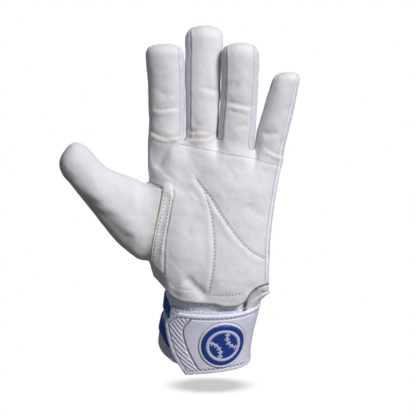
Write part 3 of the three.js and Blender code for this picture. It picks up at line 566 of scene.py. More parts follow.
def mesh_look(name):
    look = Look(name, srgb(233, 233, 244), 0.8, Sheen_Weight=0.1, Specular_IOR_Level=0.25)
    normal = node(look.tree, "ShaderNodeNewGeometry").outputs["Normal"]
    ways = node(look.tree, "ShaderNodeSeparateXYZ", {0: normal}).outputs
    sideways = look.math("GREATER_THAN", look.math("ABSOLUTE", ways[0]), 0.72)
    upward = look.math("GREATER_THAN", look.math("ABSOLUTE", ways[2]), 0.66)
    pitch = 0.0026
    across = node(look.tree, "ShaderNodeMix",
                  {"Factor": sideways, "A": look.axis(0), "B": look.axis(1)}).outputs[0]
    upright = node(look.tree, "ShaderNodeMix",
                   {"Factor": upward, "A": look.axis(2), "B": look.axis(1)}).outputs[0]
    row = look.math("DIVIDE", upright, pitch * 0.87)
    shift = look.math("MULTIPLY", look.math("FLOOR", row), 0.5)
    within = look.math("FRACT", look.math("ADD", look.math("DIVIDE", across, pitch), shift))
    u = look.math("SUBTRACT", within, 0.5)
    v = look.math("MULTIPLY", look.math("SUBTRACT", look.math("FRACT", row), 0.5), 0.87)
    far = look.math("SQRT", look.math("ADD", look.math("MULTIPLY", u, u), look.math("MULTIPLY", v, v)))
    # The mesh's holes are drawn in its colour: the pattern is the cloth's own, their darker tint is painted
    # shade seen through them.
    hole = look.spread(far, 0.30, 0.20)
    hole = look.math("MULTIPLY", hole, look.mark("holes"))
    look.tint(hole, srgb(176, 142, 166))
    look.tint(look.spread(look.noise(90, 2), 0.4, 0.8, 0, 0.3), srgb(214, 214, 232))
    look.tint(look.mark("shade"), srgb(150, 146, 158))
    look.raised(look.noise(2500, 2), 0.06)
    return look.done()


def towel_look(name):
    look = Look(name, srgb(238, 242, 255), 1.0, Sheen_Weight=0.5, Specular_IOR_Level=0.15)
    fuzz = look.noise(1100, 4, 0.7)
    look.raised(fuzz, 0.45)
    # Painted shade: the pile is darker in its low spots, where its bump dips.
    look.tint(look.spread(fuzz, 0.6, 0.3, 0, 0.3), srgb(206, 210, 240))
    return look.done()


def elastic_look(name, colour, dark):
    look = Look(name, srgb(*colour), 0.85, Sheen_Weight=0.1, Specular_IOR_Level=0.25)
    # Painted shade: the elastic is darkened in its rib valleys.
    look.tint(look.mark("valley_shade"), srgb(*dark))
    look.tint(look.spread(look.noise(500, 3), 0.45, 0.75, 0, 0.3), srgb(*dark))
    look.raised(look.noise(1800, 3, 0.6, (1, 1, 3)), 0.15)
    return look.done()


def strap_look(name):
    look = Look(name, srgb(234, 232, 250), 0.48, Specular_IOR_Level=0.45)
    look.tint(look.mark("shade"), srgb(112, 108, 130))
    look.tint(look.spread(look.noise(120, 3), 0.4, 0.8, 0, 0.3), srgb(206, 203, 224))
    look.raised(look.noise(1500, 3, 0.6), 0.05)
    return look.done()


def plain_look(name, colour, roughness, **shader):
    look = Look(name, srgb(*colour), roughness, **shader)
    look.raised(look.noise(1800, 3), 0.03)
    darker = tuple(0.8 * v for v in srgb(*colour)[:3]) + (1,)
    look.tint(look.spread(look.noise(200, 3), 0.4, 0.8, 0, 0.25), darker)
    return look.done()


LEATHER = chamois_look("chamois leather")
# The thumb's strip wears a lighter copy of the chamois look: painted light that offsets the shade on the
# strip.
STRIP_LEATHER = chamois_look("lightened chamois leather", (242, 241, 246))
CLOTH = cloth_look("white cloth")
MESH_CLOTH = mesh_look("open mesh cloth")
TOWEL = towel_look("towelling")
ELASTIC = elastic_look("white elastic", (216, 222, 232), (140, 150, 166))
BLUE = elastic_look("blue elastic", (60, 106, 196), (30, 58, 130))
STRAP = strap_look("strap rubber")
BADGE_BLUE = plain_look("badge blue", (30, 62, 150), 0.4, Specular_IOR_Level=0.5)
BADGE_WHITE = plain_look("badge print", (206, 210, 232), 0.5)
THREAD = plain_look("thread", (238, 236, 240), 0.8)
HOLE_SHADE = plain_look("stitch hole shade", (112, 100, 98), 0.95)
EDGE_SHADE_BLUE = plain_look("dark blue edge shade", (38, 54, 120), 0.8)

# The hand.

skin = build_skin()
cage = np.array(skin.points)
cage[:, 1] += PALM_PLANE
LEVEL = 3
target = cage.copy()
for _ in range(2):
    smooth, _, _ = subdivided(cage, skin.quads, skin.panels, 2)
    cage += 0.85 * (target - smooth[: len(cage)])
points, quads, kinds = subdivided(cage, skin.quads, skin.panels, LEVEL)
plain = points.copy()
outward = normals_of(points, quads)

# Sewn lines on the front: depth, reach, dark (painted shade along the groove), swell, pitch of the stitches,
# places in x and z.
CHANNELS = [
    (1.0, 0.9, 0.5, 0.5, 2.6, [(-5.8, 135.8), (-1.3, 130.0), (4.6, 123.3), (9.7, 114.6), (16.3, 104.9),
                               (22.2, 96.8), (28.0, 90.2), (35.3, 83.6), (44.8, 77.8)]),
    (0.7, 0.9, 0.3, 0.4, 2.6, [(-0.4, 128.0), (1.6, 124.0), (4.3, 115.3), (6.1, 106.4), (7.2, 96.1),
                               (7.6, 86.5), (6.9, 74.2), (5.0, 62.9), (3.6, 54.8)]),
    (0.2, 0.9, 0.03, 0.2, 1.9, [(-38.5, 164.0), (-37.0, 163.7), (-25.8, 160.8)]),
    (0.2, 0.9, 0.03, 0.2, 1.9, [(-18.0, 160.1), (-10.2, 159.0), (0.1, 156.8), (11.6, 154.3), (21.6, 152.6),
                                 (30.7, 151.1), (41.3, 148.3), (49.8, 145.8), (56.0, 144.0)]),
    (0.3, 0.9, 0.08, 0.1, 2.2, [(-24.5, 61.5), (-18.0, 58.5), (-8.5, 57.8)]),
    (0.3, 0.9, 0.08, 0.1, 2.2, [(0.9, 54.1), (15.0, 53.4), (29.5, 54.5)]),
]
# Folds and dimples: depth, reach, dark (painted shade in the fold), swell below it, cream, places in x and z.
FOLDS = [
    (0.5, 2.2, 0.10, 0.0, 0.0, [(-30.0, 196.6), (-27.2, 195.6)]),
    (0.6, 1.1, 0.16, 0.5, 0.1, [(-37.0, 185.4), (-30.0, 185.0), (-24.0, 185.6), (-17.5, 186.4)]),
    (0.7, 1.0, 0.22, 0.8, 0.6, [(-39.0, 170.2), (-37.0, 169.0), (-31.5, 166.2), (-26.5, 165.1),
                                (-19.5, 166.2), (-17.0, 167.0)]),
    (0.7, 1.7, 0.20, 0.5, 0.1, [(-2.0, 200.4), (4.5, 199.4), (11.0, 197.2)]),
    (0.6, 2.0, 0.16, 0.0, 0.0, [(-5.8, 175.0), (-3.4, 173.9)]),
    (0.6, 1.2, 0.15, 0.5, 0.5, [(-12.0, 167.2), (-10.0, 169.4), (-5.0, 170.4), (1.0, 170.0), (6.0, 167.6)]),
    (0.7, 1.0, 0.20, 0.6, 0.6, [(-12.0, 165.0), (-6.0, 164.6), (1.0, 165.0), (8.0, 167.0)]),
    (0.6, 1.4, 0.25, 0.0, 0.0, [(-8.6, 168.9), (-6.8, 168.6)]),
    (0.5, 1.8, 0.14, 0.2, 0.0, [(20.8, 197.0), (22.2, 201.0), (24.0, 205.4)]),
    (0.8, 1.2, 0.18, 0.7, 0.15, [(15.5, 190.4), (22.0, 189.0), (28.0, 188.0), (34.5, 186.4)]),
    (0.6, 1.8, 0.16, 0.0, 0.0, [(20.0, 184.4), (21.8, 183.4)]),
    (0.5, 2.2, 0.12, 0.4, 0.0, [(19.0, 172.8), (26.0, 173.8), (32.0, 174.8)]),
    (0.7, 1.9, 0.18, 0.5, 0.1, [(39.5, 168.4), (46.0, 167.6), (53.0, 168.8)]),
    (0.7, 1.0, 0.22, 0.8, 0.7, [(44.5, 157.4), (48.4, 155.4), (53.0, 153.0), (57.5, 150.4)]),
    (1.6, 3.2, 0.26, 0.6, 0.0, [(-33.0, 141.0), (-29.5, 149.0), (-25.0, 156.5), (-19.5, 162.5)]),
    (2.0, 3.2, 0.24, 0.9, 0.0, [(-13.0, 67.0), (-8.5, 62.4), (-3.5, 57.4), (3.0, 51.0)]),
    (0.8, 4.5, 0.12, 0.0, 0.0, [(-16.0, 130.4), (-12.6, 128.0)]),
    (0.8, 4.5, 0.12, 0.0, 0.0, [(33.0, 58.6), (37.4, 58.0)]),
    (0.5, 3.5, 0.08, 0.4, 0.0, [(-4.0, 112.0), (-9.0, 104.0), (-12.0, 95.0)]),
    (0.5, 3.0, 0.08, 0.4, 0.0, [(30.0, 118.0), (38.0, 112.0), (46.0, 108.0)]),
]

THUMB_FOLD = [(-86.0, 135.5), (-74.2, 124.5), (-63.5, 114.0), (-54.2, 105.0), (-46.0, 97.0), (-41.0, 91.0)]

front = np.clip(-outward[:, 1] * 2.5, 0, 1)
x, z = plain[:, 0], plain[:, 2]
lift, cream, shade = (np.zeros(len(points)) for _ in range(3))
for depth, reach, dark, swell, _, line in CHANNELS:
    side, end = to_line(line, x, z)
    fade = front * ease(end, -1, 2)
    relief = swell * bump(side + 3.2, 2.4) - depth * bump(side, reach) - 0.35 * depth * bump(side - 2.2, 2.6)
    lift += fade * relief
    shade += fade * dark * (bump(side, 0.6) + 0.2 * bump(side - 1.6, 1.6))
for depth, reach, dark, swell, creamy, line in FOLDS:
    side, end = to_line(line, x, z)
    fade = front * ease(end, -1.5, 4.5) if len(line) > 2 else front
    hollow = bump(side, reach) + 0.4 * bump(side - 1.8 * reach, 2 * reach)
    lift += fade * (swell * bump(side + 2.6 * reach, 1.7 * reach) - depth * hollow)
    shade += fade * dark * (0.8 * bump(side, 0.6 * reach) + 0.4 * bump(side - reach, 1.5 * reach))
    cream += fade * creamy * bump(side + 0.6, 0.9)
# The thumb's ridge, with the wrinkled hollow under it; the shade in that hollow and over the thumb's lower
# side is painted shade.
side, end = to_line(THUMB_FOLD, x, z)
fade = front * ease(end, -1, 14)
wrinkles = bump(side + 5, 7) * waves(plain, 16, 6, 14, 9)
lift += fade * (bump(side, 6) - bump(side + 8, 5.5) + 0.35 * wrinkles)
shade += fade * 0.16 * bump(side + 7, 5.5) + 0.36 * front**3 * ease(-side, 1, 8) * ease(-x, 36, 41)
lift += 0.30 * waves(plain, 14, 18, 46, 3) + 0.14 * waves(plain, 18, 7, 16, 4)
lift += 0.07 * waves(plain, 24, 4, 7, 5)


def distance_to(kind):
    """Each point's distance to the open edge of one panel, and for other panels' points the same."""
    edge = open_edges(quads[kinds == kind])
    tree = KDTree(len(edge) * 2)
    count = 0
    for a, b in edge:
        for p in (plain[a], (plain[a] + plain[b]) / 2):
            tree.insert(p, count)
            count += 1
    tree.balance()
    return edge, tree


SLOTS = {"palm_leather": "chamois", "thumb_leather": "chamois", "thumb_strip": "chamois"}
RAISE = {"thumb_strip": 0.6, "palm_leather": 0.15, "thumb_leather": 0.15}
edges_of = {kind: distance_to(kind) for kind in range(len(PANELS))}
shaped = points + outward * lift[:, None]
placed = shaped.copy()


def panel(kind):
    name = PANELS[kind]
    own = quads[kinds == kind]
    used = np.unique(own)
    edge, tree = edges_of[kind]
    away = np.array([tree.find(plain[v])[2] for v in used])
    leather = name in SLOTS
    roll = 1.1 if leather else 0.7
    welt = 0.25 * bump(away - 1.6, 1.1) if leather else 0
    sunk = 0.42 * np.clip(1 - away / roll, 0, 1) ** 2 - (RAISE.get(name, 0) + welt)
    place = shaped.copy()
    place[used] -= outward[used] * sunk[:, None]
    along = plain[edge[:, 1]] - plain[edge[:, 0]]
    pull = np.zeros_like(plain)
    for k in range(2):
        inwards = np.cross(outward[edge[:, k]], along)
        np.add.at(pull, edge[:, k], inwards / np.maximum(np.linalg.norm(inwards, axis=1, keepdims=True),
                                                         1e-9))
    rim = np.unique(edge)
    way = pull[rim] / np.maximum(np.linalg.norm(pull[rim], axis=1, keepdims=True), 1e-9)
    place[rim] += 0.03 * way
    placed[used] = place[used]
    order = {v: k for k, v in enumerate(used)}
    faces = [[order[v] for v in q] for q in own]
    lower = {v: len(used) + k for k, v in enumerate(rim)}
    lip = place[rim] - outward[rim] * (1.5 if leather else 1.1)
    faces += [[order[b], order[a], lower[a], lower[b]] for a, b in edge]
    pts = np.concatenate([place[used], lip])
    # Painted shade darkens each panel towards its seams and on its lip walls.
    close = bump(away, 0.55)
    marks = {
        "cream": np.clip(np.concatenate([cream[used] + (0.15 * bump(away, 1.4) if leather else 0),
                                         np.zeros(len(rim))]), 0, 1),
        "shade": np.clip(np.concatenate([shade[used] + 0.25 * close, np.full(len(rim), 0.4)]), 0, 1),
        "holes": np.concatenate([ease(away, 2.2, 3.0), np.zeros(len(rim))]),
    }
    look = LEATHER if leather else MESH_CLOTH if name == "back_panel" else CLOTH
    look = STRIP_LEATHER if name == "thumb_strip" else look
    return piece(name + "_soft", pts, faces, look, name, marks, 60)


for kind in range(len(PANELS)):
    panel(kind)

# Stitches and piping, laid on the finished front.

surface = BVHTree.FromPolygons(placed.tolist(), quads.tolist())


def on_front(x, z):
    place, normal, _, _ = surface.ray_cast(Vector((x, -300, z)), Vector((0, 1, 0)))
    return np.array(place), np.array(normal)


def spaced(line, step):
    """Places along a line, one step apart."""
    pts = np.asarray(line, float)
    run = np.concatenate([[0], np.cumsum(np.hypot(*np.diff(pts, axis=0).T))])
    at = np.arange(step / 2, run[-1], step)
    return np.stack([np.interp(at, run, pts[:, k]) for k in range(2)], -1)


def beads(name, places, long, wide, high, look, sunk=0.0):
    """Small rounded grains. places are rows of middle, way and outward direction."""
    spokes, rings = 8, 3
    turn, rise = np.meshgrid(np.arange(spokes) * 2 * np.pi / spokes,
                             np.linspace(-1, 1, rings + 2)[1:-1] * np.pi / 2)
    ball = np.stack([np.sin(rise), np.cos(rise) * np.cos(turn), np.cos(rise) * np.sin(turn)],
                    -1).reshape(-1, 3)
    ball = np.concatenate([ball, [[-1, 0, 0], [1, 0, 0]]])
    foot, head = spokes * rings, spokes * rings + 1
    faces = []
    for i in range(spokes):
        j = (i + 1) % spokes
        for a in range(0, (rings - 1) * spokes, spokes):
            faces.append([a + i, a + j, a + spokes + j, a + spokes + i])
        faces += [[foot, j, i], [head, (rings - 1) * spokes + i, (rings - 1) * spokes + j]]
    pts, all_faces = [], []
    for n, (middle, way, up) in enumerate(places):
        way = way / np.linalg.norm(way)
        across = np.cross(up, way)
        across /= np.linalg.norm(across)
        up = np.cross(way, across)
        pts.append(middle - up * sunk + ball @ np.array([way * long / 2, across * wide / 2, up * high / 2]))
        all_faces += [[n * len(ball) + v for v in f] for f in faces]
    return piece(name, np.concatenate(pts), all_faces, look)


def on_line(line, pitch, shift=0.0):
    found = []
    for (x, z), (ahead_x, ahead_z) in zip(spaced(line, pitch), spaced(line, pitch)[1:]):
        dx, dz = (ahead_x - x) / pitch, (ahead_z - z) / pitch
        x, z = x + dx * pitch * shift, z + dz * pitch * shift
        a, up = on_front(x - 0.4 * dx, z - 0.4 * dz)
        b, _ = on_front(x + 0.4 * dx, z + 0.4 * dz)
        found.append(((a + b) / 2, b - a, up))
    return found


heights = np.linspace(77, 127.5, 14)
strip_left = [(float(read(THUMB_SEAM, 1, h)) + 2.2, h) for h in heights]
strip_right = [(float(read(THUMB_SEAM, 2, h)) - 0.9, h) for h in heights]
SEWN = [(line, pitch) for *_, pitch, line in CHANNELS] + [(strip_left, 2.6), (strip_right, 2.6)]
stitches = [spot for line, pitch in SEWN for spot in on_line(line, pitch)]
holes = [spot for line, pitch in SEWN for spot in on_line(line, pitch, 0.5)]
beads("palm_stitches", stitches, 1.2, 0.6, 0.5, THREAD, -0.12)
# Dark grains between the stitches: painted shade in the stitch holes.
beads("palm_stitch_hole_shade", holes, 0.85, 0.75, 0.3, HOLE_SHADE, -0.05)


def strip_end():
    """The strip's rounded upper end, which laps over the palm."""
    rows, cols = 26, 22
    up, across = np.meshgrid(np.linspace(0, 1, rows), np.linspace(-1, 1, cols), indexing="ij")
    half = 4.1 * np.sqrt(np.clip(1 - (np.clip(up - 0.7, 0, 1) / 0.31) ** 2, 0, 1))
    at_x, at_z = -25.1 - 1.1 * up + half * across, 121.0 + 13.2 * up
    spots = [on_front(px, pz) for px, pz in zip(at_x.ravel(), at_z.ravel())]
    ground = np.array([p for p, _ in spots]).reshape(rows, cols, 3)
    for _ in range(12):
        ground[1:-1] = (ground[:-2] + 2 * ground[1:-1] + ground[2:]) / 4
    round_off = (1 - np.abs(across) ** 6) * (1 - up**6)
    high = lerp(-0.1, 0.85, ease(up, 0.0, 0.7)) * round_off - 0.3 * (1 - round_off)
    pts = ground.reshape(-1, 3) + np.array([n for _, n in spots]) * high.reshape(-1, 1)
    ids = np.arange(rows * cols).reshape(rows, cols)
    faces = np.stack([ids[:-1, :-1], ids[:-1, 1:], ids[1:, 1:], ids[1:, :-1]], -1).reshape(-1, 4)
    # Painted shade, warmed with a little cream, darkens the end's rounded rim.
    tone = 0.5 * (1 - round_off.ravel()) ** 2
    return piece("thumb_strip_end", pts, faces, STRIP_LEATHER, None,
                 {"shade": tone, "cream": 0.2 * tone})


strip_end()


def tube(name, centres, radius, look, marks=None):
    centres = np.asarray(centres, float)
    ways = np.gradient(centres, axis=0)
    ways /= np.linalg.norm(ways, axis=1, keepdims=True)
    side = np.cross(ways, np.array([0, -1.0, 0]))
    side /= np.linalg.norm(side, axis=1, keepdims=True)
    up = np.cross(side, ways)
    turns = np.arange(8) * np.pi / 4
    out = np.cos(turns)[None, :, None] * side[:, None] + np.sin(turns)[None, :, None] * up[:, None]
    pts = centres[:, None] + radius * out
    count = len(centres)
    faces = []
    for a in range(0, 8 * (count - 1), 8):
        faces += [[a + i, a + (i + 1) % 8, a + 8 + (i + 1) % 8, a + 8 + i] for i in range(8)]
    faces += [list(range(8))[::-1], [8 * count - 8 + i for i in range(8)]]
    return piece(name, pts.reshape(-1, 3), faces, look, None, marks)


rise = np.linspace(76.0, 128.5, 60)
edge_line = [on_front(float(read(THUMB_SEAM, 1, h)) + 0.7, h)[0] + np.array([0, -0.1, 0]) for h in rise]
tube("thumb_piping", edge_line, 0.75, LEATHER, {"cream": np.full(8 * len(rise), 0.6)})

# The cuff, in its own leaning frame.

WRIST = [(-4, -1.2, 29.0, 19.4), (10, -1.6, 30.4, 19.6), (24, 0.4, 30.6, 19.8), (38, 3.3, 30.7, 20.0),
         (66, 6.6, 31.0, 20.2)]
TOWEL_TOP, ELASTIC_TOP, LAYER_GAP = 2.8, 2.0, 0.35
STRIPE_FROM = ELASTIC_TOP + LAYER_GAP
STRIPE_TOP = STRIPE_FROM + 0.8
LOOP_FROM = TOWEL_TOP + LAYER_GAP
LOOP_TOP = LOOP_FROM + 1.1
STRAP_FROM = LOOP_TOP + LAYER_GAP
STRAP_TOP = STRAP_FROM + 1.8
BADGE_FROM = STRAP_TOP + 0.6 + LAYER_GAP
BADGE_TOP = BADGE_FROM + 0.9
RIM = [(-90, 11, 57), (-60, 6.2, 60), (-41, 2.9, 60), (0, -1.0, 61), (45, -0.8, 61), (90, 0, 58),
       (180, 5, 49), (225, 8, 52), (270, 11, 57), (300, 6.2, 60), (319, 2.9, 62)]
TOWEL_SEAM = [(0, -41), (30, -46), (44, -54), (48.5, -61), (53, -74), (62, -84)]
SLIT = [(0, 45), (44, 45), (59, 50)]
SEAM_TURN, SLIT_TURN = 1.8, 1.8
STRIPES = {"blue_band_upper": (40.3, 50.5), "blue_band_lower": (22.4, 32.3)}
STRIPE_START = 112
SAG = [(112, 0), (285, 0), (300, 2.4), (311, 6.5), (320, 10)]
STRAP_FOOT = [(-20, -3.6), (0, -2.2), (32, -1.4), (66, -2.6), (104, -3.2)]
STRAP_HEAD, STRAP_TAIL = 45.4, 104
STRAP_LEFT = [(-3.6, -20.3), (15.4, -37.4), (33.9, -53.6), (36.8, -53.2), (43.9, -39.2), (45.4, -37.0)]
FIELD_LEFT = [(-3.6, 0.5), (10.5, -10.7), (21.9, -20.1), (30.9, -26.1), (35.2, -26.4), (39.3, -22.7),
              (45.4, -16.0)]
FIELD_RIGHT = 58
BADGE_ANGLE, BADGE_Z, BADGE_R = 21.6, 21.1, 16.4


def cuff_point(angle, z, height):
    s, c = on_oval(angle, CUFF_SQUARE)
    px = read(WRIST, 1, z) + (read(WRIST, 2, z) + height) * s
    py = -(read(WRIST, 3, z) + height) * c
    lean_s, lean_c = math.sin(CUFF_LEAN), math.cos(CUFF_LEAN)
    return np.stack([px, py * lean_c - z * lean_s, py * lean_s + z * lean_c], -1)


def patch(name, angle, z, over, under, look, stands_for=None, marks=None, sharp=50):
    """A shell over a grid of places, which run to the right along rows and upwards from row to row."""
    rows, cols = angle.shape
    top, low = cuff_point(angle, z, over).reshape(-1, 3), cuff_point(angle, z, under).reshape(-1, 3)
    ids = np.arange(rows * cols).reshape(rows, cols)
    grid = np.stack([ids[:-1, :-1], ids[:-1, 1:], ids[1:, 1:], ids[1:, :-1]], -1).reshape(-1, 4)
    count = rows * cols
    edge = open_edges(grid)
    pts = np.concatenate([top, low])
    wall = np.stack([edge[:, 1], edge[:, 0], edge[:, 0] + count, edge[:, 1] + count], -1)
    faces = np.concatenate([grid, grid[:, ::-1] + count, wall])
    marks = {k: np.tile(v.ravel(), 2) for k, v in (marks or {}).items()}
    return piece(name, pts, faces, look, stands_for, marks, sharp)


def towel_left(z):
    return read(TOWEL_SEAM, 1, z)


def slit_left(z):
    return read(SLIT, 1, z)


def back_left(z):
    return 360 + towel_left(z) - SEAM_TURN


def cuff_grid(left, right, rows, cols):
    share, up = np.meshgrid(np.linspace(0, 1, cols), np.linspace(0, 1, rows))
    guess = lerp(left(24.0), right(24.0), share)
    z = lerp(read(RIM, 1, guess), read(RIM, 2, guess), up)
    return lerp(left(z), right(z), share), z


def arc(angle, height=3.6):
    """Millimetres round the wrist from its palm side."""
    at = np.linspace(-110, 380, 2000)
    s, c = on_oval(at, CUFF_SQUARE)
    run = np.concatenate([[0], np.cumsum(np.hypot(np.diff((30.4 + height) * s),
                                                  np.diff((19.9 + height) * c)))])
    return np.interp(angle, at, run) - np.interp(0, at, run)


def ribs(angle, z, pitch=1.5):
    way = arc(angle) + 0.25 * np.sin(z * 0.9 + 0.35 * angle)
    return np.sin(way * 2 * np.pi / pitch)


a, z_ = cuff_grid(towel_left, slit_left, 110, 150)
tufts = waves(np.stack([arc(a), z_, 0 * z_], -1).reshape(-1, 3), 40, 1.6, 3.4, 11).reshape(a.shape)
patch("cuff_terry_pile", a, z_, TOWEL_TOP - 0.35 + 0.35 * tufts, 0 * z_, TOWEL, "cuff_terry")

a, z_ = cuff_grid(lambda v: slit_left(v) + SLIT_TURN, back_left, 90, 420)
rib = ribs(a, z_)
# Painted shade darkens the rib valleys.
patch("cuff_back_ribbed", a, z_, ELASTIC_TOP - 0.2 + 0.22 * rib, 0 * z_, ELASTIC,
      "cuff_back", {"valley_shade": np.clip(-rib, 0, 1) * 0.5})

for band, (foot, top) in STRIPES.items():
    up = np.linspace(foot, top, 22)[:, None] * np.ones(360)[None, :]
    end = back_left(up - read(SAG, 1, back_left(up)))
    a = STRIPE_START + (end - STRIPE_START) * np.linspace(0, 1, 360)[None, :]
    up = up - read(SAG, 1, a)
    rib = ribs(a, up)
    # Painted shade darkens the rib valleys.
    patch(band + "_ribbed", a, up, STRIPE_TOP - 0.2 + 0.2 * rib, STRIPE_FROM + 0 * up, BLUE,
          band, {"valley_shade": np.clip(-rib, 0, 1) * 0.5})

up = np.linspace(38, 47.2, 34)[:, None] * np.ones(200)[None, :]
a = np.linspace(-52, 38, 200)[None, :] + 0 * up
tufts = waves(np.stack([arc(a), up, 0 * up], -1).reshape(-1, 3), 40, 0.9, 1.8, 12).reshape(a.shape)
share = np.linspace(0, 1, 17)
# Dark blue dashes along the loop patch's top edge: painted shade for the shadow line at that edge.
dashes = np.stack([lerp(-52, 8, share), lerp(48.0, 45.9, share)], -1)
spots = [[cuff_point(at, h, LOOP_FROM + 0.5) for at in (t - 0.8, t + 0.8, t)] for t, h in dashes]
sewn = [(c, b - a_, c - cuff_point(t, h, 0)) for (a_, b, c), (t, h) in zip(spots, dashes)]
beads("loop_patch_edge_shade", sewn, 1.9, 0.55, 0.5, EDGE_SHADE_BLUE)
patch("loop_patch_pile", a, up, LOOP_TOP - 0.2 + 0.25 * tufts, LOOP_FROM + 0 * up, TOWEL,
      "loop_patch")


def strap():
    rows, cols = 170, 330
    share, up = np.meshgrid(np.linspace(0, 1, cols), np.linspace(0, 1, rows))
    angle = lerp(-37.0, STRAP_TAIL, share)
    for _ in range(4):
        z = lerp(read(STRAP_FOOT, 1, angle), STRAP_HEAD, up)
        angle = lerp(straight(STRAP_LEFT, 1, z), STRAP_TAIL, share)
    s, s_badge = arc(angle), arc(angle, BADGE_TOP)
    left_line = [(arc(b), c) for c, b in STRAP_LEFT]
    fine = np.linspace(-3.6, 45.4, 40)
    field_line = [(arc(read(FIELD_LEFT, 1, c)), c) for c in fine]
    to_left = np.abs(to_line(left_line, s, z)[0])
    to_foot, to_head = z - read(STRAP_FOOT, 1, angle), STRAP_HEAD - z
    edge = np.minimum(np.minimum(to_left, to_foot), to_head)
    to_field = np.abs(to_line(field_line, s, z)[0])
    field_at = arc(read(FIELD_LEFT, 1, z))
    inside = np.where(s > field_at, to_field, -to_field)
    inner = np.minimum(np.minimum(inside, to_foot - 3.5), np.minimum(to_head - 3.5, arc(FIELD_RIGHT) - s))
    rim = ease(edge, 0.1, 0.6) * (1 - ease(edge, 2.0, 2.4))
    field = ease(inner, 0.0, 0.7)
    left_zone = ease(-inside, 0.9, 1.4) * ease(edge, 3.3, 3.8)
    run = (s * math.sin(math.radians(42)) + z * math.cos(math.radians(42))) / 2.5
    rope = np.abs(np.sin(np.pi * run)) ** 0.7
    along = (s * math.cos(math.radians(42)) - z * math.sin(math.radians(42))) / 1.6
    twist = 0.5 + 0.5 * np.sin(2 * np.pi * (along + 0.5 * np.floor(run)))
    ridges = left_zone * (0.75 * rope * (0.8 + 0.2 * twist) - 0.1)
    pebbles = waves(np.stack([s, z, 0 * z], -1).reshape(-1, 3), 30, 0.8, 1.5, 21).reshape(s.shape)
    height = 0.55 * rim + 0.6 * field + ridges + 0.08 * rim * pebbles
    dash = ease(np.sin(2 * np.pi * (s + 0.5 * z) / 3.0), -0.5, 0.3)
    row = bump(np.minimum(to_foot, to_head) - 2.9, 0.42) * ease(s, arc(-44), arc(-40))
    height += row * (0.6 * dash - 0.15)
    beside = s_badge - arc(BADGE_ANGLE, BADGE_TOP) + read(WRIST, 1, z) - read(WRIST, 1, BADGE_Z)
    past = np.hypot(beside, z - BADGE_Z) - BADGE_R
    ring = ease(past, 0.1, 0.6) * (1 - ease(past, 1.6, 2.1))
    height += 0.65 * ring - 0.3 * bump(past - 2.4, 0.4)
    seam = s - arc(FIELD_RIGHT)
    height -= 0.35 * bump(seam - 1.0, 0.5)
    # Painted shade: the strap is darkened in its grooves, between the rope ridges and low pebbles, in the
    # gaps of the dash row and round the badge; along the right seam the same mark also draws the stitches as
    # darker dashes.
    shade = 0.75 * bump(to_field, 0.55) * ease(edge, 3.0, 3.6) + 0.25 * bump(inner, 0.4)
    shade += 0.55 * left_zone * (1 - rope) ** 2 + 0.3 * bump(edge - 2.4, 0.3) + 0.2 * rim * (pebbles < -0.2)
    shade += 0.7 * row * (1 - dash) + 0.5 * bump(past - 2.4, 0.5) + 0.6 * bump(past, 0.4)
    shade += 0.35 * bump(seam - 1.0, 0.4) * (np.sin(2 * np.pi * z / 2.2) > -0.2)
    shade = np.clip(shade, 0, 1)
    patch("wrist_strap_moulded", angle, z, STRAP_TOP + height, STRAP_FROM + 0 * z, STRAP,
          "wrist_strap", {"shade": shade}, sharp=70)


strap()


def badge_place(u, v):
    """The angle and z of points on the badge, from their millimetres to the right of
    its middle and above it."""
    z = BADGE_Z + np.asarray(v, float)
    run = np.asarray(u, float) - (read(WRIST, 1, z) - read(WRIST, 1, BADGE_Z)) + arc(BADGE_ANGLE, BADGE_TOP)
    at = np.linspace(-60, 100, 1600)
    return np.interp(run, arc(at, BADGE_TOP), at), z


def on_badge(u, v, height):
    return cuff_point(*badge_place(u, v), height)


def disc(name, rings, spokes, height_at, under, look, stands_for=None):
    """A disc on the strap's field. Its rings are shares of the radius."""
    way = np.linspace(0, 2 * np.pi, spokes, endpoint=False)[None, :]
    r = np.asarray(rings)[:, None] * BADGE_R
    u, v = r * np.cos(way), r * np.sin(way)
    top = on_badge(u, v, height_at(u, v, r)).reshape(-1, 3)
    wall = on_badge(u[-1:], v[-1:], np.full((1, spokes), under)).reshape(-1, 3)
    pts = np.concatenate([top, wall])
    faces = []
    for k in range(len(rings)):
        for i in range(spokes):
            j = (i + 1) % spokes
            a, b = k * spokes, (k + 1) * spokes
            faces.append([a + i, b + i, b + j, a + j])
    return piece(name, pts, faces, look, stands_for)


def badge_height(u, v, r):
    return BADGE_TOP - 0.2 - 0.5 * ease(r, BADGE_R - 0.5, BADGE_R)


disc("strap_badge_disc", np.linspace(0.001, 1, 60), 160, badge_height, BADGE_FROM, BADGE_BLUE,
     "strap_badge")


def ribbon(u, v, width):
    """A raised line on the badge along points u, v, in millimetres from its middle."""
    u, v = np.asarray(u, float), np.asarray(v, float)
    du, dv = np.gradient(u), np.gradient(v)
    size = np.maximum(np.hypot(du, dv), 1e-9)
    nu, nv = -dv / size, du / size
    pts, faces = [], []
    for k in range(len(u)):
        for side, h in ((-1, -0.1), (-0.7, 0.2), (0.7, 0.2), (1, -0.1)):
            out = width / 2 * side
            pts.append(on_badge(u[k] + nu[k] * out, v[k] + nv[k] * out, BADGE_TOP - 0.2 + h))
    for k in range(len(u) - 1):
        faces += [[4 * k + i + 4, 4 * k + i + 5, 4 * k + i + 1, 4 * k + i] for i in range(3)]
    faces += [[0, 1, 2, 3], [4 * len(u) - 1, 4 * len(u) - 2, 4 * len(u) - 3, 4 * len(u) - 4]]
    return np.array(pts), faces


